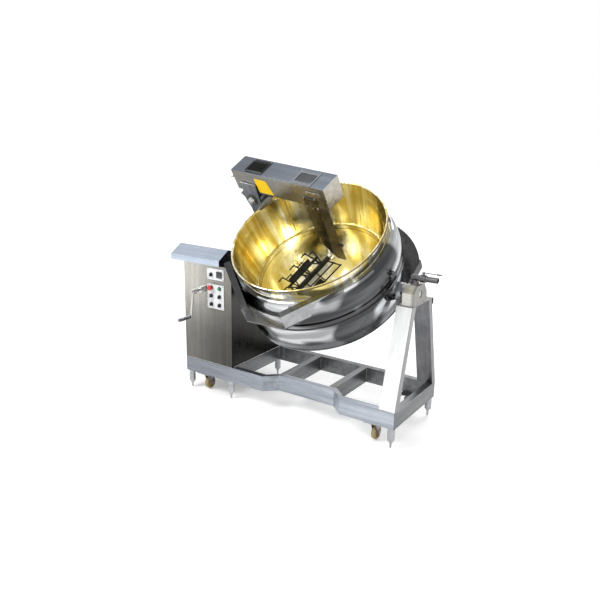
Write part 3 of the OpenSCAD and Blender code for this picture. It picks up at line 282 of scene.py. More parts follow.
def moulded(name, tone, roughness, gloss=0.5, speckle=0.12, grainScale=900.0, depth=0.00008, metallic=0.0,
            coat=0.0):
    # plastic, paint or rubber with a fine surface grain, scuffs and a little dust
    look, tree, shader = newLook(name)
    point = objectPoint(tree)
    fine = noise(tree, point, grainScale, 2.0)
    scuff = noise(tree, point, *scuffMarks)
    dust = tuple(min(1, c * (1 + speckle) + 0.05 * speckle) for c in tone)
    colour = blendColour(tree, ramp(tree, scuff, 0.45, 0.75), tone, dust)
    grained = blendColour(tree, ramp(tree, fine, 0.3, 0.7, 0.0, speckle), colour, toned(tone, 0.7))
    tree.links.new(grained, shader.inputs["Base Color"])
    rough = ramp(tree, scuff, 0.35, 0.7, roughness, min(1, roughness + 0.18))
    tree.links.new(rough, shader.inputs["Roughness"])
    shader.inputs["Metallic"].default_value = metallic
    shader.inputs["Specular IOR Level"].default_value = gloss
    shader.inputs["Coat Weight"].default_value = coat
    wornNormal(tree, shader, fine, depth, 0.4, 0.0008)
    return look


upGrain = (900, 900, 9)
alongGrain = (7, 900, 900)
deepGrain = (900, 7, 900)
# many metal tones below are set low, as on the head, the leg, the cross tubes, the leg cap, the pipe and the
# jacket: painted reflection of darker surroundings, since the studio around them is white
looks = {
    # painted shade: darker towards the bottom and towards the right, and the right side face much darker
    "cabinet": brushedSteel(
        "cabinetBrushed", tone=(0.46, 0.445, 0.41), grain=upGrain, roughness=0.3, streaks=0.065,
        shades=(upward(0.45, 1.06, 0.30, 1.0), across(-0.94, -0.50, 1.15, 0.55),
                across(-0.4595, -0.4565, 1.0, 0.3))),
    # painted shade: the cap's right gable end much darker
    "cap": brushedSteel(
        "capBrushed", tone=(0.46, 0.52, 0.62), grain=alongGrain, roughness=0.26, streaks=0.06,
        shades=(across(-0.568, -0.5645, 1.0, 0.1),)),
    # painted light and shade: darker at the left end, brighter at the right, and the right end face darker
    "frontRail": brushedSteel(
        "railGround", tone=(0.38, 0.41, 0.46), grain=alongGrain, roughness=0.32, streaks=0.14,
        shades=(across(-0.9, 0.9, 0.6, 1.2), across(0.924, 0.927, 1.0, 0.4))),
    "crossTubes": brushedSteel(
        "crossTubeGround", tone=(0.21, 0.215, 0.22), grain=deepGrain, roughness=0.34, streaks=0.14),
    # painted highlight: the front leg's near-white tone stands for its brightly lit front; its right side
    # face is painted darker as shade
    "frontLeg": brushedSteel(
        "frontLegBrushed", tone=(0.93, 0.935, 0.94), grain=upGrain, roughness=0.3, streaks=0.03, stain=0.05,
        shades=(across(0.924, 0.927, 1.0, 0.3),)),
    # painted shade: the rear leg, the same steel as the front leg, has a much lower tone
    "rearLeg": brushedSteel(
        "rearLegBrushed", tone=(0.21, 0.21, 0.22), grain=upGrain, roughness=0.3, streaks=0.1),
    "legCap": brushedSteel(
        "legCapBrushed", tone=(0.22, 0.21, 0.2), grain=alongGrain, roughness=0.3, streaks=0.1),
    # painted shade: the block's right side face darker
    "block": brushedSteel(
        "blockMilled", tone=(0.52, 0.51, 0.475), grain=(60, 900, 60), roughness=0.3, streaks=0.08,
        shades=(across(0.9, 0.929, 1.0, 0.45),)),
    "turned": brushedSteel(
        "turnedSteel", tone=(0.42, 0.43, 0.45), grain=(60, 60, 1400), roughness=0.25, streaks=0.08),
    "zinc": brushedSteel(
        "zincPlate", tone=(0.34, 0.34, 0.35), grain=(90, 90, 90), roughness=0.38, streaks=0.1, stain=0.5),
    "tread": moulded(
        "amberTread", tone=(0.34, 0.25, 0.12), roughness=0.42, gloss=0.5, speckle=0.2, grainScale=500.0,
        coat=0.2),
    "pipe": brushedSteel(
        "pickledPipe", tone=(0.19, 0.19, 0.2), grain=(90, 800, 800), roughness=0.3, streaks=0.16,
        stain=0.5),
    "gearPaint": moulded("gearPaint", tone=(0.10, 0.12, 0.14), roughness=0.45, gloss=0.5, speckle=0.25),
    "black": moulded("blackMoulded", tone=(0.018, 0.018, 0.02), roughness=0.4, gloss=0.5, speckle=0.4),
    "white": moulded(
        "panelEnamel", tone=(0.80, 0.81, 0.83), roughness=0.28, gloss=0.5, speckle=0.05, coat=0.3),
    "controller": moulded(
        "controllerCase", tone=(0.035, 0.038, 0.042), roughness=0.35, gloss=0.5, speckle=0.3),
    "display": moulded(
        "displayGlass", tone=(0.01, 0.012, 0.016), roughness=0.08, gloss=0.6, speckle=0.1,
        grainScale=1500.0, depth=0.00001, coat=0.6),
    "key": moulded("keyCaps", tone=(0.25, 0.27, 0.3), roughness=0.4, gloss=0.5, speckle=0.1),
    "mark": moulded("whiteMark", tone=(0.85, 0.85, 0.85), roughness=0.4, gloss=0.5, speckle=0.05),
    "red": moulded(
        "redMushroom", tone=(0.62, 0.03, 0.025), roughness=0.25, gloss=0.5, speckle=0.15, coat=0.4),
    "green": moulded(
        "greenCap", tone=(0.01, 0.30, 0.12), roughness=0.25, gloss=0.5, speckle=0.15, coat=0.4),
    "chrome": brushedSteel(
        "crankChrome", tone=(0.5, 0.5, 0.49), grain=(200, 200, 200), roughness=0.14, streaks=0.08,
        stain=0.3),
    "grip": brushedSteel(
        "gripSleeve", tone=(0.36, 0.38, 0.42), grain=(200, 30, 200), roughness=0.2, streaks=0.1),
    "gold": goldLiner(
        "linerGold", deep=(0.80, 0.66, 0.23), pale=(1.0, 0.98, 0.84), seam=0.0985, rim=(0.553, 0.440)),
    # jacket, band, skirt and bowl underside: low tones with painted reflection of the surroundings
    "mirror": mirrorSteel(
        "jacketMirror", tone=(0.20, 0.205, 0.21), roughness=0.08, frameOf=potFrame, patches=(0.4, 2.4)),
    "band": mirrorSteel(
        "bandPolished", tone=(0.13, 0.13, 0.135), roughness=0.12, frameOf=potFrame, patches=(0.5, 2.0)),
    "under": mirrorSteel(
        "underSteel", tone=(0.145, 0.15, 0.155), roughness=0.26, frameOf=potFrame, patches=(0.5, 1.4),
        depth=0.0001),
    "bowlUnder": mirrorSteel(
        "bowlUnderSteel", tone=(0.17, 0.18, 0.19), roughness=0.3, frameOf=potFrame, patches=(0.75, 1.35),
        depth=0.00006, plain=True),
    "yoke": brushedSteel(
        "yokePlate", tone=(0.06, 0.06, 0.062), grain=(30, 30, 300), roughness=0.28, streaks=0.15,
        frameOf=potFrame),
    "bronze": brushedSteel(
        "wheelBronze", tone=(0.55, 0.36, 0.14), grain=(300, 300, 300), roughness=0.3, streaks=0.1),
    # painted shade: the guides' top faces and the left guide darker
    "chute": brushedSteel(
        "chuteSatin", tone=(0.38, 0.385, 0.395), grain=alongGrain, roughness=0.24, streaks=0.08,
        frameOf=potFrame, stain=0.15,
        shades=(upward(0.3425, 0.3445, 1.0, 0.35), across(-0.25, -0.05, 0.45, 1.0))),
    # painted shade: the chute floor, the same sheet as the guides, has a much lower tone
    "chuteFloor": brushedSteel(
        "chuteFloorSatin", tone=(0.15, 0.15, 0.148), grain=alongGrain, roughness=0.22, streaks=0.12,
        frameOf=potFrame, stain=0.3),
    # painted light and shade: darker to the left, the right end face brighter as painted highlight, a warm
    # front and a cool top as painted reflection, and near black inside the beam as painted shade
    "head": brushedSteel(
        "headBrushed", tone=(0.22, 0.225, 0.23), grain=alongGrain, roughness=0.3, streaks=0.07,
        frameOf=headFrame, stain=0.08,
        shades=(across(-0.66, 0.10, 0.75, 1.2), across(0.186, 0.1885, 1.0, 1.9),
                upward(0.7755, 0.7768, (1.0, 0.92, 0.8), (0.9, 0.99, 1.14))),
        dark=((-0.665, 0.089, 0.610), (0.189, 0.250, 0.776))),
    # painted highlight: the plate's top edge three and a half times brighter
    "bracket": brushedSteel(
        "bracketPlate", tone=(0.17, 0.17, 0.175), grain=upGrain, roughness=0.3, streaks=0.12,
        frameOf=headFrame, stain=0.4, shades=(upward(0.682, 0.6845, 1.0, 3.5),)),
    "bearing": brushedSteel(
        "bearingSleeve", tone=(0.82, 0.83, 0.84), grain=(60, 60, 1400), roughness=0.22, streaks=0.04,
        stain=0.05),
    # painted light: a low tone as painted reflection, brighter lower down and towards the left, and a
    # painted highlight on the right side
    "leg": brushedSteel(
        "headLeg", tone=(0.11, 0.10, 0.085), grain=upGrain, roughness=0.3, streaks=0.08, frameOf=legFrame,
        stain=0.1,
        shades=(upward(-0.41, 0.01, 1.4, 0.8), across(-0.0025, -0.0008, 1.0, 2.6),
                across(-0.095, -0.030, 1.25, 0.85))),
    # below the plates' top face the colour goes near black: painted shade on the slots' walls; the left
    # plate is far lower in tone
    "vent": brushedSteel(
        "ventPlates", tone=(0.25, 0.26, 0.275), grain=alongGrain, roughness=0.3, streaks=0.07,
        frameOf=headFrame, stain=0.08,
        shades=(across(-0.3, -0.2, 0.1, 1.0), upward(0.7785, 0.7795, 0.02, 1.15))),
    "hinge": moulded(
        "hingeRingDark", tone=(0.05, 0.045, 0.035), roughness=0.35, gloss=0.5, speckle=0.3, metallic=0.5),
    "stirrer": moulded(
        "stirrerBlack", tone=(0.006, 0.006, 0.0065), roughness=0.42, gloss=0.3, speckle=0.3,
        grainScale=300.0, depth=0.00015),
    "pad": moulded("scraperPad", tone=(0.55, 0.57, 0.58), roughness=0.45, gloss=0.5, speckle=0.2),
    "weld": brushedSteel(
        "weldBead", tone=(0.42, 0.41, 0.39), grain=(260, 260, 260), roughness=0.3, streaks=0.2, stain=0.6),
    "goldWeld": brushedSteel(
        "goldWeld", tone=(0.95, 0.82, 0.42), grain=(260, 260, 260), roughness=0.2, streaks=0.1, stain=0.2),
    "bolt": brushedSteel(
        "boltSteel", tone=(0.45, 0.45, 0.46), grain=(400, 400, 400), roughness=0.24, streaks=0.12,
        stain=0.4),
}
nodeLooks = {
    "frontRail": ["front_rail"],
    "crossTubes": ["frame_tubes"],
    "frontLeg": ["front_leg"],
    "rearLeg": ["rear_leg"],
    "legCap": ["leg_cap"],
    "block": ["bearing_block"],
    "turned": ["foot_sleeves", "foot_screws", "left_trunnion", "right_trunnion", "hinge_pin"],
    "bearing": ["leg_bearing"],
    "zinc": ["caster_plates"] + ["caster_fork_%d" % i for i in range(1, 5)],
    "tread": ["caster_wheel_%d" % i for i in range(1, 5)],
    "pipe": ["supply_pipe", "valve_lever"],
    "cabinet": ["cabinet_shell", "cabinet_back"],
    "cap": ["cabinet_cap"],
    "gearPaint": ["gear_frame", "drive_motor"],
    "black": ["button_bezels"] + ["selector_%d" % i for i in range(1, 6)],
    "white": ["control_plates"],
    "controller": ["temperature_controller"],
    "red": ["emergency_button"],
    "green": ["start_button"],
    "chrome": ["crank_shaft", "crank_arm", "crank_bush", "probe_rod"],
    "grip": ["crank_grip"],
    "gold": ["pot_liner"],
    "mirror": ["jacket_shell"],
    "band": ["jacket_band"],
    "under": ["jacket_skirt"],
    "bowlUnder": ["heated_bowl"],
    "yoke": ["rear_yoke"],
    "bronze": ["worm_wheel"],
    "chute": ["left_guide", "right_guide"],
    "chuteFloor": ["chute_floor"],
    "head": ["beam_shell"],
    "bracket": ["head_bracket"],
    "leg": ["leg_case"],
    "vent": ["vent_covers"],
    "stirrer": ["stirrer_shaft", "stirrer_blades"],
    "pad": ["scraper_pads"],
}
for key, names in nodeLooks.items():
    for name in names:
        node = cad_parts[name]
        node.data.materials.clear()
        node.data.materials.append(looks[key])
dressed = {n for names in nodeLooks.values() for n in names}
print("materials on CAD nodes:", len(dressed), "not dressed:", sorted(set(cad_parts) - dressed))


# Mesh helpers for the small pieces
still = Matrix.Identity(4)


def finishPiece(name, mesh, look, body):
    bmesh.ops.remove_doubles(mesh, verts=mesh.verts, dist=0.000001)
    bmesh.ops.recalc_face_normals(mesh, faces=mesh.faces)
    data = bpy.data.meshes.new(name)
    mesh.to_mesh(data)
    mesh.free()
    piece = bpy.data.objects.new(name, data)
    bpy.context.scene.collection.objects.link(piece)
    data.materials.append(looks[look])
    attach(piece, body)


def addBox(mesh, low, high, place=still, edge=0.0, segments=2):
    size = Vector(high) - Vector(low)
    middle = (Vector(high) + Vector(low)) / 2
    made = bmesh.ops.create_cube(mesh, size=1.0, matrix=Matrix.Diagonal((*size, 1.0)))["verts"]
    if edge:
        edges = list({e for v in made for e in v.link_edges})
        made = bmesh.ops.bevel(mesh, geom=edges, offset=edge, segments=segments, profile=0.5,
                               affect="EDGES", material=-1)["verts"]
    bmesh.ops.transform(mesh, matrix=place @ Matrix.Translation(middle), verts=made)


def addTurned(mesh, profile, place=still, steps=40):
    # spins a profile of radius and height once round the local Z axis
    before = set(mesh.verts)
    verts = [mesh.verts.new((r, 0, z)) for r, z in profile]
    edges = [mesh.edges.new(pair) for pair in zip(verts, verts[1:])]
    bmesh.ops.spin(mesh, geom=verts + edges, cent=(0, 0, 0), axis=(0, 0, 1), angle=2 * math.pi, steps=steps,
                   use_merge=True)
    bmesh.ops.transform(mesh, matrix=place, verts=[v for v in mesh.verts if v not in before])


def addHex(mesh, place, radius, height, steps=6):
    # a bolt's head or a nut, its top edge chamfered, on a thin washer
    before = set(mesh.verts)
    washer = 0.001
    bmesh.ops.create_cone(mesh, cap_ends=True, segments=steps, radius1=radius, radius2=radius, depth=height,
                          matrix=Matrix.Translation((0, 0, washer + height / 2)))
    top = [e for e in mesh.edges if all(v not in before and v.co.z > height / 2 for v in e.verts)]
    bmesh.ops.bevel(mesh, geom=top, offset=height * 0.18, segments=2, profile=0.5, affect="EDGES",
                    material=-1)
    bmesh.ops.transform(mesh, matrix=place, verts=[v for v in mesh.verts if v not in before])
    rim, crown = radius * 1.35, radius * 1.28
    addTurned(mesh, [(0, 0), (rim, 0), (rim, 0.0008), (crown, 0.0012), (0, 0.0012)], place, 24)


def addWeld(mesh, start, end, radius, pitch=0.005):
    # a straight weld bead with its ripples
    start, end = Vector(start), Vector(end)
    length = (end - start).length
    count = max(2, int(length / pitch))
    ripples = [(0, 0)]
    for i in range(count):
        low = i * length / count
        ripples += [(radius * 0.82, low + 0.02 * pitch), (radius, low + 0.4 * pitch),
                    (radius * 0.96, low + 0.75 * pitch)]
    ripples.append((0, length))
    turn = (end - start).to_track_quat("Z", "Y").to_matrix().to_4x4()
    addTurned(mesh, ripples, Matrix.Translation(start) @ turn, 8)


def addRingWeld(mesh, radius, height, bead, place, ripple=0.15, steps=320):
    # a weld bead that runs round the pot
    before = set(mesh.verts)
    corners = [math.radians(a) for a in range(0, 360, 45)]
    verts = [mesh.verts.new((radius + bead * math.cos(a), 0, height + bead * math.sin(a))) for a in corners]
    edges = [mesh.edges.new((verts[i - 1], verts[i])) for i in range(len(verts))]
    bmesh.ops.spin(mesh, geom=verts + edges, cent=(0, 0, 0), axis=(0, 0, 1), angle=2 * math.pi, steps=steps,
                   use_merge=True)
    made = [v for v in mesh.verts if v not in before]
    for v in made:
        angle = math.atan2(v.co.y, v.co.x)
        middle = Vector((radius * math.cos(angle), radius * math.sin(angle), height))
        v.co = middle + (v.co - middle) * (1 + ripple * math.sin(angle * steps / 4))
    bmesh.ops.transform(mesh, matrix=place, verts=made)


def addPrism(mesh, face, vector):
    # draws a flat face out into a solid
    out = bmesh.ops.extrude_face_region(mesh, geom=[face])["geom"]
    bmesh.ops.translate(mesh, vec=vector, verts=[g for g in out if isinstance(g, bmesh.types.BMVert)])


def facing(place, axis):
    # a frame at a point whose Z axis is the one given
    return Matrix.Translation(place) @ Vector(axis).to_track_quat("Z", "Y").to_matrix().to_4x4()


front = Vector((0, -1, 0))
down = Vector((0, 0, -1))

# Base: bolts under the casters, lock nuts on the feet, weld beads
casterBolts = {"fromEnd": 0.172, "fromSide": 0.060, "spread": (0.047, 0.042), "under": 0.144,
               "radius": 0.0085, "height": 0.0055}


def buildCasterBolts():
    bolts = casterBolts
    mesh = bmesh.new()
    for x in (base["left"] + bolts["fromEnd"], base["right"] - bolts["fromEnd"]):
        for y in (base["front"] + bolts["fromSide"], base["back"] - bolts["fromSide"]):
            for dx in (-1, 1):
                for dy in (-1, 1):
                    at = (x + dx * bolts["spread"][0], y + dy * bolts["spread"][1], bolts["under"])
                    addHex(mesh, facing(at, down), bolts["radius"], bolts["height"])
    finishPiece("casterBolts", mesh, "bolt", "base")


footNuts = {"x": (-0.894, -0.487, 0.900), "y": (-0.1928, 0.4372), "height": 0.009, "gap": 0.0002,
            "profile": [(0.0085, 0), (0.0125, 0), (0.015, 0.0015), (0.015, 0.0075), (0.0125, 0.009),
                        (0.0085, 0.009)]}


def buildFootNuts():
    mesh = bmesh.new()
    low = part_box("foot_sleeves")[0][2] - footNuts["height"] - footNuts["gap"]
    for x in footNuts["x"]:
        for y in footNuts["y"]:
            addTurned(mesh, footNuts["profile"], Matrix.Translation((x, y, low)), 6)
    finishPiece("footNuts", mesh, "bolt", "base")


frameWelds = {"bead": 0.0028, "tubeWidth": 0.120, "sink": 0.002, "railDepth": 0.05,
              "crossX": (-0.457, -0.086, 0.335), "crossHalf": 0.025, "crossBack": 0.052, "crossTop": 0.001,
              "crossDeep": 0.1, "frontEnd": -0.459, "frontIn": 0.001, "frontBead": 0.0018,
              "sideX": -0.4565, "sideIn": 0.02, "sideBead": 0.0022}


def buildFrameWelds():
    welds = frameWelds
    mesh = bmesh.new()
    bead, top = welds["bead"], base["top"]
    right, left = base["right"], base["right"] - welds["tubeWidth"]
    for y, way in ((base["front"], 1), (base["back"], -1)):
        seam = y + way * welds["sink"]
        addWeld(mesh, (left, seam, top), (right, seam, top), bead)
        addWeld(mesh, (left, y, top), (left, y + way * welds["railDepth"], top), bead)
    y = base["back"] - welds["crossBack"]
    for cross in welds["crossX"]:
        for side in (-1, 1):
            x = cross + welds["crossHalf"] + side * welds["crossHalf"]
            addWeld(mesh, (x, y, top - welds["crossTop"]), (x, y, top - welds["crossDeep"]), bead)
    y = base["front"] + welds["frontIn"]
    addWeld(mesh, (base["left"] + welds["sink"], y, top), (welds["frontEnd"], y, top), welds["frontBead"])
    x, y0, y1 = welds["sideX"], base["front"] + welds["sideIn"], base["back"] - welds["sideIn"]
    addWeld(mesh, (x, y0, top), (x, y1, top), welds["sideBead"])
    finishPiece("frameWelds", mesh, "weld", "base")


buildCasterBolts()
buildFootNuts()
buildFrameWelds()

# A-frame: bolts beside the bearing block, weld round the cap's top
capTop = 0.962
bearingBolts = {"x": 0.829, "fromAxis": 0.085, "radius": 0.011, "height": 0.007}


def buildBearingBolts():
    mesh = bmesh.new()
    for side in (-1, 1):
        at = (bearingBolts["x"], pot["y"] + side * bearingBolts["fromAxis"], capTop)
        addHex(mesh, facing(at, (0, 0, 1)), bearingBolts["radius"], bearingBolts["height"])
    finishPiece("bearingBolts", mesh, "bolt", "base")


blockWeld = {"lift": 0.0005, "width": 0.083, "front": 0.109, "back": 0.115, "bead": 0.003}


def buildBlockWeld():
    mesh = bmesh.new()
    y0, y1 = pot["y"] - blockWeld["front"], pot["y"] + blockWeld["back"]
    x0, x1, z = base["right"] - blockWeld["width"], base["right"], capTop + blockWeld["lift"]
    ends = [((x0, y), (x1, y)) for y in (y0, y1)]
    sides = [((x, y0), (x, y1)) for x in (x0, x1)]
    for start, end in ends + sides:
        addWeld(mesh, (*start, z), (*end, z), blockWeld["bead"])
    finishPiece("blockWeld", mesh, "weld", "base")


buildBearingBolts()
buildBlockWeld()

# Control panel: screws, display, keys and the selectors' marks
panelFront = -0.2218
panelScrews = {"x": -0.609, "halfWidth": 0.072, "plates": ((0.991, 0.034), (0.817, 0.086)),
               "radius": 0.0042, "profile": [(0, 0), (1, 0), (1, 0.0006), (0.8, 0.0017), (0.35, 0.0021),
                                             (0.3, 0.0012), (0, 0.0012)]}


def buildPanelScrews():
    mesh = bmesh.new()
    profile = [(r * panelScrews["radius"], z) for r, z in panelScrews["profile"]]
    for middle, half in panelScrews["plates"]:
        for dx in (-1, 1):
            for dz in (-1, 1):
                at = (panelScrews["x"] + dx * panelScrews["halfWidth"], panelFront, middle + dz * half)
                addTurned(mesh, profile, facing(at, front), 20)
    finishPiece("panelScrews", mesh, "bolt", "base")


def addFrontBar(mesh, x, z, out, edge):
    # a flat bar on the panel: x and z from and to, and how far out its two faces are
    addBox(mesh, (x[0], panelFront - out[0], z[0]), (x[1], panelFront - out[1], z[1]), edge=edge)


controllerWindow = {"x": (-0.587, -0.551), "z": (0.9975, 1.0125), "out": (0.0075, 0.0066), "edge": 0.0003}


def buildControllerWindow():
    window = controllerWindow
    mesh = bmesh.new()
    addFrontBar(mesh, window["x"], window["z"], window["out"], window["edge"])
    finishPiece("controllerWindow", mesh, "display", "base")


controllerKeys = {"count": 4, "middle": -0.569, "pitch": 0.010, "half": 0.0031, "z": (0.9774, 0.9816),
                  "out": (0.0086, 0.0072), "edge": 0.0005}


def buildControllerKeys():
    keys = controllerKeys
    mesh = bmesh.new()
    for i in range(keys["count"]):
        x = keys["middle"] + (i - (keys["count"] - 1) / 2) * keys["pitch"]
        addFrontBar(mesh, (x - keys["half"], x + keys["half"]), keys["z"], keys["out"], keys["edge"])
    finishPiece("controllerKeys", mesh, "key", "base")


selectorMarks = {"knobs": ((-0.649, 0.987), (-0.649, 0.822), (-0.569, 0.822), (-0.649, 0.755),
                           (-0.569, 0.755)),
                 "half": 0.001, "z": (0.001, 0.011), "knobTop": 0.021, "out": (0.0004, -0.0003),
                 "edge": 0.0002}


def buildSelectorMarks():
    marks = selectorMarks
    out = [marks["knobTop"] + o for o in marks["out"]]
    for i, (x, z) in enumerate(marks["knobs"]):
        mesh = bmesh.new()
        low, high = (z + dz for dz in marks["z"])
        addFrontBar(mesh, (x - marks["half"], x + marks["half"]), (low, high), out, marks["edge"])
        finishPiece("selectorMark%d" % (i + 1), mesh, "mark", "selector_%d" % (i + 1))


buildPanelScrews()
buildControllerWindow()
buildControllerKeys()
buildSelectorMarks()

# Crank: dome nut on the boss, and three rings on the shaft
crank = {"x": -0.723, "y": -0.3428, "z": 0.866, "boss": 0.018}
crankNut = [(0, 0), (0.013, 0), (0.013, 0.0015), (0.0105, 0.002), (0.0105, 0.007), (0.008, 0.011),
            (0.004, 0.0128), (0, 0.013)]
crankCollar = {"y": (-0.243, -0.252, -0.261),
               "profile": [(0.0242, -0.003), (0.0262, -0.002), (0.0262, 0.002), (0.0242, 0.003)]}


def buildCrank():
    mesh = bmesh.new()
    addTurned(mesh, crankNut, facing((crank["x"], crank["y"] - crank["boss"], crank["z"]), front), 32)
    finishPiece("crankNut", mesh, "chrome", "crank")
    mesh = bmesh.new()
    for y in crankCollar["y"]:
        addTurned(mesh, crankCollar["profile"], facing((crank["x"], y, crank["z"]), front), 40)
    finishPiece("crankCollar", mesh, "chrome", "crank")


buildCrank()

# Pot: weld rings, the rings round the hinge on the fork, and the column's pull pin
weldBead = 0.0025
# each weld's radius, height above the pot's middle and look
ringWelds = {"seamWeld": (0.4745, 0.1035, "goldWeld"), "flangeWeld": (0.5305, 0.3385, "weld")}


def buildRingWelds():
    for name, (radius, height, look) in ringWelds.items():
        mesh = bmesh.new()
        addRingWeld(mesh, radius, height, weldBead, potFrame)
        finishPiece(name, mesh, look, "pot")


hinge = {"u": -0.547, "h": 0.538, "forkFront": 0.075, "forkBack": 0.264, "discFront": 0.0647,
         "discBack": 0.2743}
hingeRing = [(0.0305, -0.001), (0.0305, 0.004), (0.0325, 0.006), (0.043, 0.006), (0.046, 0.003),
             (0.046, -0.001)]


def addAtHinge(mesh, profile, frontW, backW, steps):
    for w, way in ((frontW, front), (backW, -front)):
        addTurned(mesh, profile, headFrame @ facing((hinge["u"], w, hinge["h"]), way), steps)


def buildHingeRing():
    mesh = bmesh.new()
    addAtHinge(mesh, hingeRing, hinge["forkFront"], hinge["forkBack"], 48)
    finishPiece("hingeRing", mesh, "hinge", "pot")


pullPin = {"place": (-0.636, 0.1498, 0.345), "axis": (-0.012, -0.149, 0.012),
           "profile": [(0, 0), (0.010, 0), (0.010, 0.004), (0.0045, 0.005), (0.0045, 0.128),
                       (0.0085, 0.130), (0.0095, 0.134), (0.0095, 0.146), (0.008, 0.149), (0, 0.150)]}


def buildPullPin():
    mesh = bmesh.new()
    addTurned(mesh, pullPin["profile"], headFrame @ facing(pullPin["place"], pullPin["axis"]), 24)
    finishPiece("pullPin", mesh, "chrome", "pot")


buildRingWelds()
buildHingeRing()
buildPullPin()

# Yellow plate on the beam, bare, with its rivets
yellowPlate = {"corners": [(-0.446, 0.620), (-0.304, 0.621), (-0.339, 0.736), (-0.455, 0.738)],
               "front": 0.088, "thick": 0.0015, "edge": 0.0005, "colour": (0.93, 0.60, 0.0), "rivetIn": 0.12,
               "rivet": [(0, 0), (0.003, 0), (0.0028, 0.0005), (0.0016, 0.0009), (0, 0.0010)]}
looks["yellow"] = moulded("yellowPlate", tone=yellowPlate["colour"], roughness=0.5, gloss=0.25,
                          speckle=0.05)


def buildYellowPlate():
    plate = yellowPlate
    mesh = bmesh.new()
    corners = [mesh.verts.new((u, plate["front"], h)) for u, h in plate["corners"]]
    addPrism(mesh, mesh.faces.new(corners), (0, -plate["thick"], 0))
    bmesh.ops.bevel(mesh, geom=[e for e in mesh.edges], offset=plate["edge"], segments=2, profile=0.5,
                    affect="EDGES", material=-1)
    bmesh.ops.transform(mesh, matrix=headFrame, verts=mesh.verts)
    finishPiece("yellowPlate", mesh, "yellow", "head")
    mesh = bmesh.new()
    middleU = sum(u for u, h in plate["corners"]) / 4
    middleH = sum(h for u, h in plate["corners"]) / 4
    for u, h in plate["corners"]:
        rivetU, rivetH = u + (middleU - u) * plate["rivetIn"], h + (middleH - h) * plate["rivetIn"]
        at = (rivetU, plate["front"] - plate["thick"], rivetH)
        addTurned(mesh, plate["rivet"], headFrame @ facing(at, front), 16)
    finishPiece("plateRivets", mesh, "bolt", "head")


buildYellowPlate()

# Head: dome nuts, wing bolt, knob and clamp on the leg, vent screws and bright dashes, folded edges
beam = {"left": -0.664, "right": 0.188, "end": 0.1895, "front": 0.0875, "back": 0.2515, "low": 0.611,
        "high": 0.775, "edge": 0.7765, "top": 0.777}
hingeNut = [(0, -0.0005), (0.029, -0.0005), (0.029, 0.002), (0.0275, 0.007), (0.023, 0.012),
            (0.015, 0.0155), (0.007, 0.017), (0, 0.0173)]


def buildHingeNuts():
    mesh = bmesh.new()
    addAtHinge(mesh, hingeNut, hinge["discFront"], hinge["discBack"], 40)
    finishPiece("hingeNuts", mesh, "bolt", "head")


wingBolt = {"place": (-0.666, 0.102, 0.705), "wing": ((0.004, -0.002, -0.006), (0.020, 0.002, 0.006)),
            "wingH": 0.022, "wingTilt": -25, "wingEdge": 0.0018,
            "profile": [(0, 0), (0.011, 0), (0.011, 0.004), (0.0045, 0.005), (0.0045, 0.016),
                        (0.008, 0.017), (0.008, 0.024), (0, 0.025)]}


def buildWingBolt():
    mesh = bmesh.new()
    place = headFrame @ facing(wingBolt["place"], (-1, 0, 0))
    addTurned(mesh, wingBolt["profile"], place, 24)
    tilt = Matrix.Rotation(math.radians(wingBolt["wingTilt"]), 4, "Y")
    for side in (-1, 1):
        turn = Matrix.Rotation(math.radians(90 - 90 * side), 4, "Z")
        addBox(mesh, *wingBolt["wing"], place @ Matrix.Translation((0, 0, wingBolt["wingH"])) @ turn @ tilt,
               wingBolt["wingEdge"], 3)
    finishPiece("wingBolt", mesh, "bolt", "head")


legKnob = {"place": (0.1126, 0.138, 0.238),
           "profile": [(0, 0), (0.009, 0), (0.009, 0.003), (0.005, 0.004), (0.005, 0.012), (0.012, 0.014),
                       (0.0135, 0.018), (0.0135, 0.026), (0.011, 0.030), (0, 0.031)]}
legClamp = {"low": (0.030, 0.0815, 0.7165), "high": (0.152, 0.0838, 0.7375), "edge": 0.0006,
            "bolts": ((-0.008, 0.600), (0.088, 0.600), (-0.008, 0.678), (0.088, 0.678)),
            "boltFront": 0.084, "radius": 0.0065, "height": 0.0045}


def buildLegParts():
    mesh = bmesh.new()
    addTurned(mesh, legKnob["profile"], headFrame @ facing(legKnob["place"], (1, 0, 0)), 32)
    finishPiece("legKnob", mesh, "black", "head")
    mesh = bmesh.new()
    addBox(mesh, legClamp["low"], legClamp["high"], headFrame, legClamp["edge"])
    finishPiece("clampStrip", mesh, "bolt", "head")
    mesh = bmesh.new()
    for u, h in legClamp["bolts"]:
        place = headFrame @ facing((u, legClamp["boltFront"], h), front)
        addHex(mesh, place, legClamp["radius"], legClamp["height"])
    finishPiece("clampBolts", mesh, "bolt", "head")


vents = {"left": (-0.462, 0.168), "right": (-0.009, 0.160), "half": (0.080, 0.062), "thick": 0.003,
         "screw": [(0, 0), (0.0045, 0), (0.0044, 0.0008), (0.003, 0.0018), (0, 0.002)]}
# six small bright dashes on the left vent, in the white mark look
ventClips = {"count": 6, "first": -0.058, "pitch": 0.0235, "width": 0.006, "w": (-0.060, -0.056),
             "height": 0.0042, "edge": 0.0003}


def buildVents():
    mesh = bmesh.new()
    face = beam["top"] + vents["thick"]
    for u, w in (vents["left"], vents["right"]):
        for du in (-1, 1):
            for dw in (-1, 1):
                at = (u + du * vents["half"][0], w + dw * vents["half"][1], face)
                addTurned(mesh, vents["screw"], headFrame @ Matrix.Translation(at), 18)
    finishPiece("ventScrews", mesh, "bolt", "head")
    mesh = bmesh.new()
    for i in range(ventClips["count"]):
        u = vents["left"][0] + ventClips["first"] + i * ventClips["pitch"]
        low, high = (vents["left"][1] + w for w in ventClips["w"])
        top = beam["top"] + ventClips["height"]
        addBox(mesh, (u, low, face), (u + ventClips["width"], high, top), headFrame, ventClips["edge"])
    finishPiece("ventClips", mesh, "mark", "head")


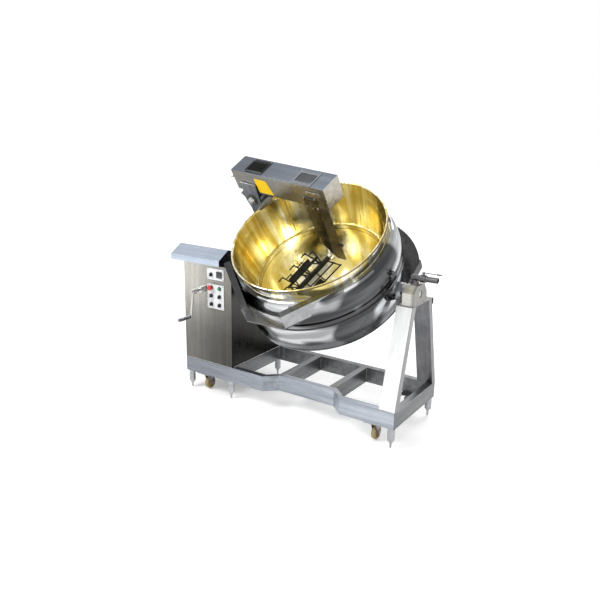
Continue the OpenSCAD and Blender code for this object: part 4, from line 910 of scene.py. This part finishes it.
beamWelds = {"bead": 0.0012, "endBead": 0.0016, "endFront": 0.089, "pitch": 0.004}


def buildBeamWelds():
    mesh = bmesh.new()
    lines = [((beam["left"], w, beam["edge"]), (beam["right"], w, beam["edge"]), beamWelds["bead"])
             for w in (beam["front"], beam["back"])]
    end = beam["end"], beamWelds["endFront"]
    lines.append(((*end, beam["low"]), (*end, beam["high"]), beamWelds["endBead"]))
    for start, stop, bead in lines:
        addWeld(mesh, headFrame @ Vector(start), headFrame @ Vector(stop), bead, beamWelds["pitch"])
    finishPiece("beamWelds", mesh, "head", "head")


buildHingeNuts()
buildWingBolt()
buildLegParts()
buildVents()
buildBeamWelds()

# Back of the cabinet: hoods over the louvres and the plate's screws
louvres = {"middle": -0.6935, "fromMiddle": 0.095, "half": 0.072, "first": 0.390, "pitch": 0.024, "rows": 8,
           "hood": [(0.0, 0.012), (0.004, 0.010), (0.008, 0.004), (0.009, -0.001), (0.0075, -0.001),
                    (0.006, 0.004), (0.003, 0.008), (0.0, 0.0095)]}


def buildLouvreHoods():
    mesh = bmesh.new()
    for side in (-1, 1):
        x = louvres["middle"] + side * louvres["fromMiddle"]
        for i in range(louvres["rows"]):
            z = louvres["first"] + i * louvres["pitch"]
            start = x - louvres["half"]
            outline = [(start, base["back"] + out, z + up) for out, up in louvres["hood"]]
            hood = [mesh.verts.new(v) for v in outline]
            addPrism(mesh, mesh.faces.new(hood), (2 * louvres["half"], 0, 0))
    finishPiece("louvreHoods", mesh, "cabinet", "base")


backScrews = {"x": (-0.915, -0.6935, -0.472), "z": (0.285, 0.62, 0.94), "radius": 0.0055, "height": 0.0035}


def buildBackScrews():
    mesh = bmesh.new()
    for x in backScrews["x"]:
        for z in backScrews["z"]:
            addHex(mesh, facing((x, base["back"], z), -front), backScrews["radius"], backScrews["height"])
    finishPiece("backScrews", mesh, "bolt", "base")


buildLouvreHoods()
buildBackScrews()
print("small pieces made")

# Floor, light and camera
stage = {"floorSize": 30, "floorTone": (0.9, 0.9, 0.895, 1), "floorRough": 0.9, "fadeFrom": 1.4,
         "fadeTo": 4.0, "glow": (0.28, 0.6), "ambient": 0.62, "seen": 1.0}


def shownRays(tree):
    path = addNode(tree, "ShaderNodeLightPath").outputs
    seen = maths(tree, "MAXIMUM", path["Is Camera Ray"], path["Is Glossy Ray"])
    return maths(tree, "MAXIMUM", seen, path["Is Transmission Ray"])


def buildFloor():
    mesh = bmesh.new()
    bmesh.ops.create_grid(mesh, x_segments=1, y_segments=1, size=stage["floorSize"])
    data = bpy.data.meshes.new("floor")
    mesh.to_mesh(data)
    mesh.free()
    floor = bpy.data.objects.new("floor", data)
    bpy.context.scene.collection.objects.link(floor)
    look, tree, shader = newLook("paleFloor")
    shader.inputs["Base Color"].default_value = stage["floorTone"]
    shader.inputs["Roughness"].default_value = stage["floorRough"]
    shader.inputs["Emission Color"].default_value = (1, 1, 1, 1)
    away = addNode(tree, "ShaderNodeVectorMath", {0: objectPoint(tree)}, operation="LENGTH")
    glow = ramp(tree, away.outputs["Value"], stage["fadeFrom"], stage["fadeTo"], *stage["glow"])
    tree.links.new(maths(tree, "MULTIPLY", shownRays(tree), glow), shader.inputs["Emission Strength"])
    data.materials.append(look)


def buildWorld():
    world = bpy.data.worlds.new("studio")
    bpy.context.scene.world = world
    world.use_nodes = True
    background = world.node_tree.nodes["Background"]
    background.inputs["Color"].default_value = (1, 1, 1, 1)
    strength = ramp(world.node_tree, shownRays(world.node_tree), 0, 1, stage["ambient"], stage["seen"])
    world.node_tree.links.new(strength, background.inputs["Strength"])


# each lamp's place, size and power
lamps = {"key": ((-2.5, -3.2, 4.2), 2.2, 170), "fill": ((3.6, -1.6, 2.6), 2.6, 50),
         "rear": ((0.5, 3.6, 3.6), 2.4, 80)}
lampsAim = Vector((0, 0.1, 0.8))


def buildLamps():
    for name, (place, size, power) in lamps.items():
        lamp = bpy.data.lights.new(name, "AREA")
        lamp.size, lamp.energy = size, power
        lampObject = bpy.data.objects.new(name, lamp)
        lampObject.location = place
        lampObject.rotation_euler = (lampsAim - Vector(place)).to_track_quat("-Z", "Y").to_euler()
        bpy.context.scene.collection.objects.link(lampObject)


# the camera stands where the machine was seen from: yaw and pitch in degrees, roll in radians
view = {"place": (2.582, -3.9038, 2.157), "yaw": 33.31, "pitch": 15.64, "roll": 0.0196, "lens": 39.40,
        "sensor": 36, "clipEnd": 100}


def buildCamera():
    yaw, pitch, roll = math.radians(view["yaw"]), math.radians(view["pitch"]), view["roll"]
    ahead = Vector((-math.sin(yaw) * math.cos(pitch), math.cos(yaw) * math.cos(pitch), -math.sin(pitch)))
    level = Vector((math.cos(yaw), math.sin(yaw), 0))
    plumb = level.cross(ahead)
    right = math.cos(roll) * level + math.sin(roll) * plumb
    up = -math.sin(roll) * level + math.cos(roll) * plumb
    camera = bpy.data.cameras.new("camera")
    camera.sensor_width, camera.lens, camera.clip_end = view["sensor"], view["lens"], view["clipEnd"]
    cameraObject = bpy.data.objects.new("camera", camera)
    rows = [(right[i], up[i], -ahead[i], view["place"][i]) for i in range(3)]
    cameraObject.matrix_world = Matrix((*rows, (0, 0, 0, 1)))
    bpy.context.scene.collection.objects.link(cameraObject)
    bpy.context.scene.camera = cameraObject


buildFloor()
buildWorld()
buildLamps()
buildCamera()
bpy.context.scene.view_settings.view_transform = "Standard"
print("stage ready")
